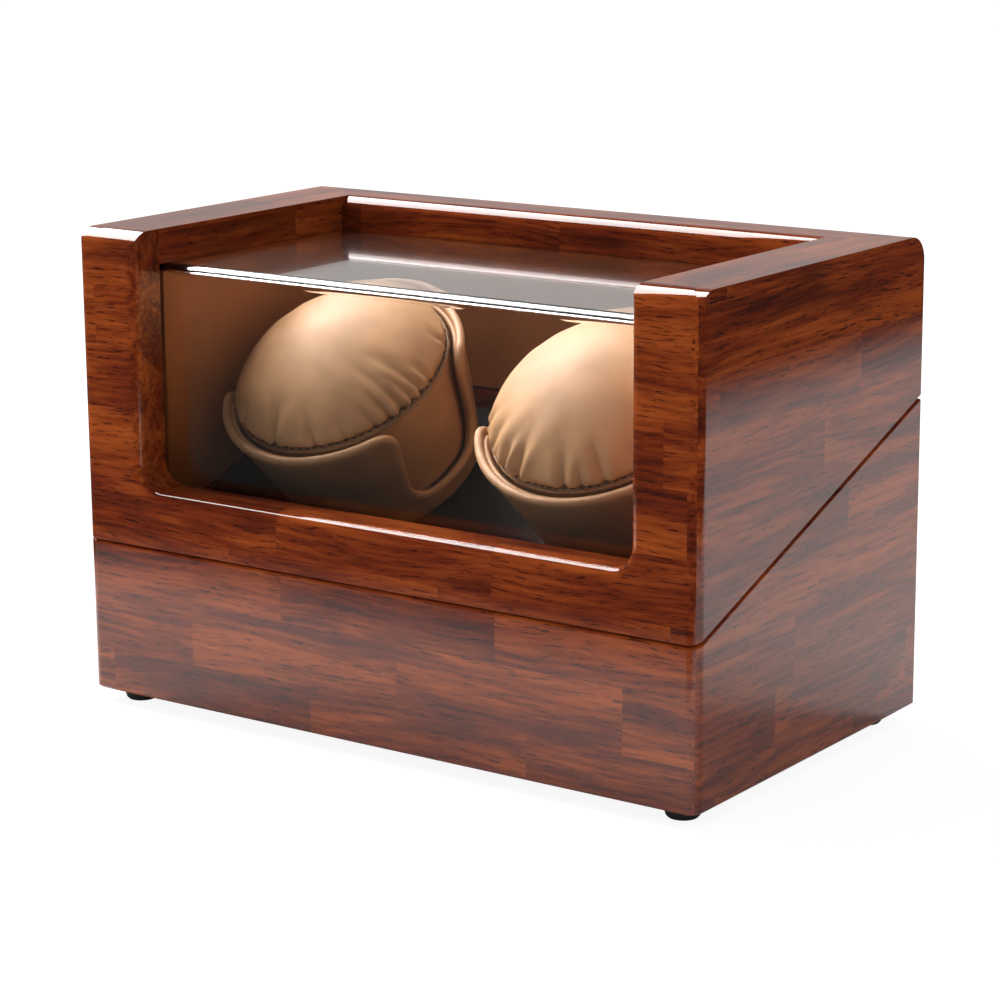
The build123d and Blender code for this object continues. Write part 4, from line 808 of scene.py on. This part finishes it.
def cushion_surface(sizes, side, push):
    """The stuffed cushion: the turned profile pushed out by the stuffing, pulled in along the seam by a bell
    curve, and gathered into folds above it. A fold is a bell across and fades up the dome, with a low swell
    of leather on each flank. Each point also gets a painted shade, darkest along the seam and in the valley
    of each fold."""
    r, z, reach = cushion_profile(sizes)
    form = revolved(r, z)
    normals = grid_normals(form)
    turn = np.linspace(0, 2 * math.pi, CUSHION_COLUMNS, endpoint=False)[None, :]
    reach = reach[1:-1, None]
    above = np.clip(reach, 0.0, None)
    radius = r[1:-1, None]
    seam_pull = -0.0011 * np.exp(-((reach / 0.0008) ** 2))
    seam_pull = seam_pull + 0.0005 * np.exp(-(((reach - 0.0026) / 0.0020) ** 2))
    folds = np.zeros((len(r) - 2, CUSHION_COLUMNS))
    # painted shade: darkest along the seam line
    shade = np.exp(-((reach / 0.00045) ** 2)) * np.ones_like(turn) * 0.9
    for direction, long, depth, half, slant in GATHERS[side]:
        lean = slant * (above / long) ** 1.5
        away = np.angle(np.exp(1j * (turn - math.radians(direction) - lean / sizes.radius)))
        across = away * radius
        fade = np.where(reach > 0, np.exp(-((above / long) ** 2.2) * 1.6), 0.0)
        widen = half * (0.55 + 0.9 * above / long)
        valley = np.exp(-((across / widen) ** 2))
        flank = np.exp(-((np.abs(across) - 2.1 * widen) / (1.2 * widen)) ** 2)
        folds += fade * depth * (0.55 * flank - valley)
        # painted shade: darker in the valley of each fold
        shade += 0.30 * fade * np.exp(-((across / (0.35 * widen)) ** 2))
    # small tucks between the stitches, on both sides of the seam
    tucks = 0.00016 * np.sin(turn * TUCKS) * np.exp(-((reach - 0.0009) / 0.0014) ** 2)
    tucks = tucks + 0.00010 * np.sin(turn * TUCKS + 1.3) * np.exp(-((reach + 0.0011) / 0.0012) ** 2)
    lift = push + seam_pull + folds + tucks
    grid = form + normals * lift[..., None]
    top = np.array([0.0, 0.0, grid[0, :, 2].mean()])
    bottom = np.array([0.0, 0.0, z[-1]])
    return grid_points(grid, top, bottom), np.append(np.clip(shade, 0.0, 1.0).ravel(), (0.0, 0.0))


def ring_tube(radius, height, thick, high, columns=240, sides=12):
    """A closed ring of oval section round the axis: a circle carried round a circle."""
    turn = np.linspace(0, 2 * math.pi, columns, endpoint=False)[:, None]
    way = np.linspace(0, 2 * math.pi, sides, endpoint=False)[None, :]
    wave = 0.00012 * np.sin(turn * 31) + 0.00010 * np.sin(turn * 53 + 0.7)
    r = radius + thick * np.cos(way) + wave
    points = np.stack([r * np.cos(turn), r * np.sin(turn), height + high * np.sin(way) + 0 * turn], -1)
    number = np.arange(columns * sides).reshape(columns, sides)
    number = np.vstack([number, number[:1]])
    blocks = [quads(closed(number[i]), closed(number[i + 1])) for i in range(columns)]
    return points.reshape(-1, 3), [f for block in blocks for f in block.tolist()]


def stitches(count, radius, height, length_of, thick):
    """Short threads laid end to end round the seam: each is a six-sided spindle whose thickness follows
    half a sine along its length."""
    middle = np.linspace(0, 2 * math.pi, count, endpoint=False)[:, None, None]
    along = np.linspace(-0.5, 0.5, 5)[None, :, None]
    way = np.linspace(0, 2 * math.pi, 6, endpoint=False)[None, None, :]
    fat = thick * (0.25 + 0.75 * np.cos(along * math.pi))
    turn = middle + along * length_of / radius
    r = radius + fat * np.cos(way)
    points = np.stack([r * np.cos(turn), r * np.sin(turn), height + fat * np.sin(way) + 0 * turn], -1)
    number = np.arange(5 * 6).reshape(5, 6)
    one = [quads(closed(number[i]), closed(number[i + 1])) for i in range(4)]
    one = np.concatenate(one)
    ends = [number[0, ::-1].tolist(), number[-1].tolist()]
    faces = []
    for k in range(count):
        faces += (one + 30 * k).tolist()
        faces += [[p + 30 * k for p in end] for end in ends]
    return points.reshape(-1, 3), faces


class WINDER_OT_cushions(bpy.types.Operator):
    """Build both stuffed cushions with their seam lip and stitches"""

    bl_idname = "winder.cushions"
    bl_label = "Cushions"

    def execute(self, context):
        sizes = context.scene.winder_cushions
        cups = context.scene.winder_cups
        colours = context.scene.winder_colours
        hide = leather("cushion_leather", colours.cushion, grain=0.0008, roughness=0.54, relief=0.20)
        # painted shade: the seam lip is a darker copy of the cushion leather
        shaded_lip_hide = leather("cushion_lip_painted_shade", tuple(0.62 * c for c in colours.cushion), roughness=0.5)
        thread = moulded("seam_thread", (0.045, 0.020, 0.010), 0.6)
        r, z, _ = cushion_profile(sizes)
        form = revolved(r, z)
        faces = grid_faces(len(r) - 2, CUSHION_COLUMNS)
        push = np.zeros(form.shape[:2])
        plain = grid_points(form, (0.0, 0.0, z[0]), (0.0, 0.0, z[-1]))
        push = blurred(stuffed_push(form, plain, faces, sizes), 2, 5, 4)
        for side in SIDES:
            place = cup_frame(side, cups)
            body = f"cushion_{side}"
            points, shade = cushion_surface(sizes, side, push)
            # the mark carries painted shade along the seam and in the folds
            cushion = new_piece(
                f"stuffed_cushion_{side}", to_row_frame(points, place), faces, hide, {"painted_shade": shade}
            )
            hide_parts(f"cushion_{side}")
            lip_points, lip_faces = ring_tube(
                sizes.radius + 0.00005, sizes.seam - LIP_DROP, LIP_THICKNESS, LIP_HEIGHT
            )
            lip = new_piece(f"seam_lip_{side}", to_row_frame(lip_points, place), lip_faces, shaded_lip_hide)
            seam_points, seam_faces = stitches(
                STITCHES, sizes.radius - 0.0003, sizes.seam + 0.0001, STITCH_LENGTH, STITCH_THICKNESS
            )
            seam = new_piece(f"seam_stitches_{side}", to_row_frame(seam_points, place), seam_faces, thread)
            for piece in (cushion, lip, seam):
                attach(piece, body)
        return {"FINISHED"}


# ---- rear panel marks --------------------------------------------------------------------------------
MARK_GAP = 0.0022  # from a knob's edge to the middle of a mark
MARK_SIZE = (0.0011, 0.00022, 0.00004)  # half sizes: along, across and proud
MARK_SPREAD = 120  # degrees to either side of straight up
MARKS = 9


class WINDER_OT_marks(bpy.types.Operator):
    """Build the plain printed marks round the two mode knobs"""

    bl_idname = "winder.marks"
    bl_label = "Rear panel marks"

    def execute(self, context):
        low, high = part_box("control_plate")
        ink = moulded("mark_ink", (0.62, 0.62, 0.60), 0.5)
        points, faces = [], []
        corner = np.array([(sx, sy, sz) for sx in (-1, 1) for sy in (-1, 1) for sz in (-1, 1)], float)
        block = [[0, 1, 3, 2], [4, 6, 7, 5], [0, 4, 5, 1], [2, 3, 7, 6], [0, 2, 6, 4], [1, 5, 7, 3]]
        for side in SIDES:
            knob_low, knob_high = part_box(f"mode_knob_{side}")
            middle = (knob_low + knob_high) / 2
            reach = (knob_high.x - knob_low.x) / 2
            for turn in np.radians(np.linspace(-MARK_SPREAD, MARK_SPREAD, MARKS)):
                way = np.array([math.sin(turn), 0.0, math.cos(turn)])
                side_way = np.array([way[2], 0.0, -way[0]])
                out = np.array([0.0, 1.0, 0.0])
                centre = np.array([middle.x, high.y, middle.z]) + way * (reach + MARK_GAP)
                points.append(centre + (corner * MARK_SIZE) @ np.array([way, side_way, out]))
                start = 8 * (len(points) - 1)
                faces += [[p + start for p in face] for face in block]
        marks = new_piece("knob_marks", np.concatenate(points), faces, ink)
        marks.data.shade_flat()
        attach(marks, "case")
        return {"FINISHED"}


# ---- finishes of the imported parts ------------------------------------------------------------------
class WINDER_OT_finishes(bpy.types.Operator):
    """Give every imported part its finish"""

    bl_idname = "winder.finishes"
    bl_label = "Finishes"

    def execute(self, context):
        colours = context.scene.winder_colours
        cloth = suede("platform_suede", colours.floor_cloth)
        lining = leather("lining_leather", colours.lining, grain=0.0011, roughness=0.48, relief=0.2)
        # painted shade: the rear lining is a darker copy of the lid's lining
        shaded_lining = leather(
            "rear_lining_painted_shade", tuple(0.45 * c for c in colours.lining), grain=0.0011, roughness=0.48,
            relief=0.2,
        )
        rubber = moulded("black_rubber", (0.013, 0.013, 0.014), 0.62)
        finishes = {
            veneer("veneer_lid_front", "x", 0.0, colours): ("lid_front_frame",),
            veneer("veneer_lid_rear", "x", 0.31, colours): ("lid_rear_panel",),
            veneer("veneer_base_front", "x", 0.173, colours): ("base_front_wall",),
            veneer("veneer_base_rear", "x", 0.53, colours): ("base_rear_wall",),
            veneer("veneer_left", "y", 0.067, colours): ("lid_left_side", "base_left_wall"),
            veneer("veneer_right", "y", 0.421, colours): ("lid_right_side", "base_right_wall"),
            lining: ("lid_side_linings",),
            shaded_lining: ("lid_rear_lining",),
            cloth: ("base_linings", "platform_lining"),
            rubber: ("lid_bumpers", "rubber_feet"),
            clear_sheet("clear_acrylic"): ("window_pane",),
            fibreboard("fibreboard"): ("bottom_board", "corner_blocks", "platform_board", "platform_cleats"),
            brushed_metal("steel", (0.60, 0.60, 0.61), (300.0, 300.0, 2400.0), 0.30): (
                "foot_screws", "bottom_screws", "platform_screws", "plate_screws", "motor_screws",
                "panel_screws", "plate_posts", "gear_plate_left", "gear_plate_right", "cup_screws_left",
                "cup_screws_right", "spindle_left", "spindle_right",
            ),
            brushed_metal("hinge_brass", (0.78, 0.55, 0.22), (2600.0, 300.0, 300.0), 0.24): (
                "hinge_base_leaves", "hinge_lid_leaves", "hinge_pins", "hinge_base_screws",
                "hinge_lid_screws",
            ),
            brushed_metal("bush_brass", (0.68, 0.45, 0.18), (900.0, 900.0, 900.0), 0.32): (
                "spindle_bushes", "gearbox_left", "gearbox_right", "pinion_left", "pinion_right",
            ),
            brushed_metal("motor_can", (0.52, 0.53, 0.55), (500.0, 500.0, 2600.0), 0.36): (
                "motor_left", "motor_right",
            ),
            moulded("black_plate", (0.018, 0.018, 0.019), 0.42, 0.0004): ("control_plate",),
            circuit_board("circuit_board"): ("control_board",),
            moulded("black_plastic", (0.016, 0.016, 0.017), 0.38): (
                "rotary_switches", "dc_inlet", "turntable_left", "turntable_right", "mode_knob_left",
                "mode_knob_right",
            ),
            moulded("gear_plastic", (0.72, 0.70, 0.64), 0.42): ("drive_gear_left", "drive_gear_right"),
        }
        for material, names in finishes.items():
            for name in names:
                node = frame["nodes"][name]
                if not node.material_slots:
                    raise RuntimeError(f"{name} has no material slot")
                for slot in node.material_slots:
                    slot.material = material
        return {"FINISHED"}


# ---- stage -------------------------------------------------------------------------------------------
CAMERA_PLACE = (0.5800, -0.81775, 0.3104)
CAMERA_AZIMUTH = 0.61946
CAMERA_FALL = 0.2318
CAMERA_ROLL = -0.00717
CAMERA_LENS = 107.23
TABLE_EDGES = (-0.30, 0.47, -0.23, 0.95)  # where the bright table ends in reflections: x, x, y, y
TABLE_SOFTNESS = 0.05
FLOOR_REACH = 4.0
FLOOR_GLOW = 1.14
FLOOR_GLOW_SHARE = 0.80
SOFTBOX_PLACE = (-0.80, 0.16, 1.02)
SOFTBOX_AIM = (0.0, 0.0, 0.1)
SOFTBOX_SIZE = (0.95, 0.75)
SOFTBOX_POWER = 29.0
SOFTBOX_TINT = (1.0, 0.985, 0.97)


def add_light(name, place, aim, width, height, power, tint):
    light = bpy.data.lights.new(name, "AREA")
    light.shape = "RECTANGLE"
    light.size = width
    light.size_y = height
    light.energy = power
    light.color = tint
    lamp = bpy.data.objects.new(name, light)
    lamp.location = place
    lamp.rotation_euler = (Vector(aim) - Vector(place)).to_track_quat("-Z", "Y").to_euler()
    bpy.context.scene.collection.objects.link(lamp)
    return lamp


class WINDER_OT_stage(bpy.types.Operator):
    """Build the pale floor, the studio light and the camera"""

    bl_idname = "winder.stage"
    bl_label = "Stage"

    def execute(self, context):
        scene = context.scene
        self.add_floor(scene)
        self.add_world(scene)
        add_light(
            "overhead_softbox", SOFTBOX_PLACE, SOFTBOX_AIM, *SOFTBOX_SIZE, SOFTBOX_POWER, SOFTBOX_TINT
        )
        self.add_camera(scene)
        scene.view_settings.view_transform = "Standard"
        return {"FINISHED"}

    def add_floor(self, scene):
        """A large pale floor that glows a little, so that shadows on it stay light. In reflections it ends
        at a table's edge, past which the room is dark."""
        reach = FLOOR_REACH
        points = np.array([(-reach, -reach, 0), (reach, -reach, 0), (reach, reach, 0), (-reach, reach, 0)])
        tree = new_material("pale_floor")
        x, y, _ = tree.parts(tree.place())
        soft = TABLE_SOFTNESS
        left, right, front, back = TABLE_EDGES
        table = x.step(left - soft, left + soft) * x.step(right + soft, right - soft)
        table = table * y.step(front - soft, front + soft) * y.step(back + soft, back - soft)
        mirrored = tree.node("ShaderNodeLightPath", output="Is Glossy Ray")
        grain = tree.noise(tree.place(), 900.0, 2.0)
        paper = tree.mix((0.90, 0.90, 0.90), (0.94, 0.94, 0.94), grain)
        pale = tree.node("ShaderNodeBsdfDiffuse", None, {"Color": paper})
        dark = tree.node("ShaderNodeBsdfDiffuse", None, {"Color": (0.03, 0.028, 0.026, 1.0)})
        mixed = tree.node("ShaderNodeMixShader", None, {0: mirrored * (1 - table), 1: pale, 2: dark})
        seen = tree.node("ShaderNodeLightPath", output="Is Camera Ray")
        white = tree.node("ShaderNodeEmission", None, {"Color": (1.0, 1.0, 1.0, 1.0), "Strength": FLOOR_GLOW})
        bright = tree.node("ShaderNodeMixShader", None, {0: seen * FLOOR_GLOW_SHARE, 1: mixed, 2: white})
        floor = new_piece("floor", points, [[0, 1, 2, 3]], tree.finish(bright))

    def add_world(self, scene):
        """White behind everything that the camera sees, an even soft fill for matt surfaces, and for
        reflections a dark room with a pale backdrop low down at the back."""
        world = bpy.data.worlds.new("studio")
        scene.world = world
        tree = Tree(world)
        x, y, z = tree.parts(tree.node("ShaderNodeTexCoord", output="Generated"))
        paths = tree.node("ShaderNodeLightPath").socket.node
        camera = Signal(tree, paths.outputs["Is Camera Ray"])
        glossy = Signal(tree, paths.outputs["Is Glossy Ray"])
        back = (y * 0.7 - x * 0.6).step(0.35, 0.60) * z.step(0.62, 0.40)
        mirrored = tree.mix((0.030, 0.024, 0.022), (0.46, 0.45, 0.44), back)
        seen = tree.mix((0.62, 0.62, 0.63), mirrored, glossy)
        seen = tree.mix(seen, (1.0, 1.0, 1.0), camera)
        shade = tree.node("ShaderNodeBackground", None, {"Color": seen, "Strength": 1.0})
        tree.node("ShaderNodeOutputWorld", None, {"Surface": shade})

    def add_camera(self, scene):
        """The camera looks down at the box from its front right."""
        forward = Vector((
            -math.sin(CAMERA_AZIMUTH) * math.cos(CAMERA_FALL),
            math.cos(CAMERA_AZIMUTH) * math.cos(CAMERA_FALL),
            -math.sin(CAMERA_FALL),
        ))
        level = Vector((math.cos(CAMERA_AZIMUTH), math.sin(CAMERA_AZIMUTH), 0.0))
        upright = level.cross(forward)
        right = math.cos(CAMERA_ROLL) * level + math.sin(CAMERA_ROLL) * upright
        up = -math.sin(CAMERA_ROLL) * level + math.cos(CAMERA_ROLL) * upright
        camera = bpy.data.objects.new("camera", bpy.data.cameras.new("camera"))
        turn = Matrix((right, up, -forward)).transposed().to_4x4()
        camera.matrix_world = Matrix.Translation(CAMERA_PLACE) @ turn
        camera.data.lens = CAMERA_LENS
        camera.data.sensor_width = 36.0
        camera.data.clip_start = 0.01
        scene.collection.objects.link(camera)
        scene.camera = camera


# ---- panel and registration -----------------------------------------------------------------------------
OPERATORS = (WINDER_OT_finishes, WINDER_OT_cups, WINDER_OT_cushions, WINDER_OT_marks, WINDER_OT_stage)


class WINDER_PT_panel(bpy.types.Panel):
    """Lists the winder's operators and their sizes"""

    bl_idname = "WINDER_PT_panel"
    bl_label = "Watch Winder Box"
    bl_space_type = "VIEW_3D"
    bl_region_type = "UI"
    bl_category = "Winder"

    def draw(self, context):
        scene = context.scene
        for operator in OPERATORS:
            self.layout.operator(operator.bl_idname)
        for group in (scene.winder_cups, scene.winder_cushions, scene.winder_colours):
            column = self.layout.column()
            for name in group.__annotations__:
                column.prop(group, name)


GROUPS = {
    "winder_cups": WinderCupSizes,
    "winder_cushions": WinderCushionSizes,
    "winder_colours": WinderColours,
}


def register():
    for group in GROUPS.values():
        bpy.utils.register_class(group)
    for name, group in GROUPS.items():
        setattr(bpy.types.Scene, name, PointerProperty(type=group))
    for operator in OPERATORS:
        bpy.utils.register_class(operator)
    bpy.utils.register_class(WINDER_PT_panel)


def unregister():
    bpy.utils.unregister_class(WINDER_PT_panel)
    for operator in reversed(OPERATORS):
        bpy.utils.unregister_class(operator)
    for name in GROUPS:
        delattr(bpy.types.Scene, name)
    for group in reversed(GROUPS.values()):
        bpy.utils.unregister_class(group)


def main():
    register()
    bpy.ops.winder.finishes()
    bpy.ops.winder.cups()
    bpy.ops.winder.cushions()
    bpy.ops.winder.marks()
    bpy.ops.winder.stage()


if __name__ == "__main__":
    main()
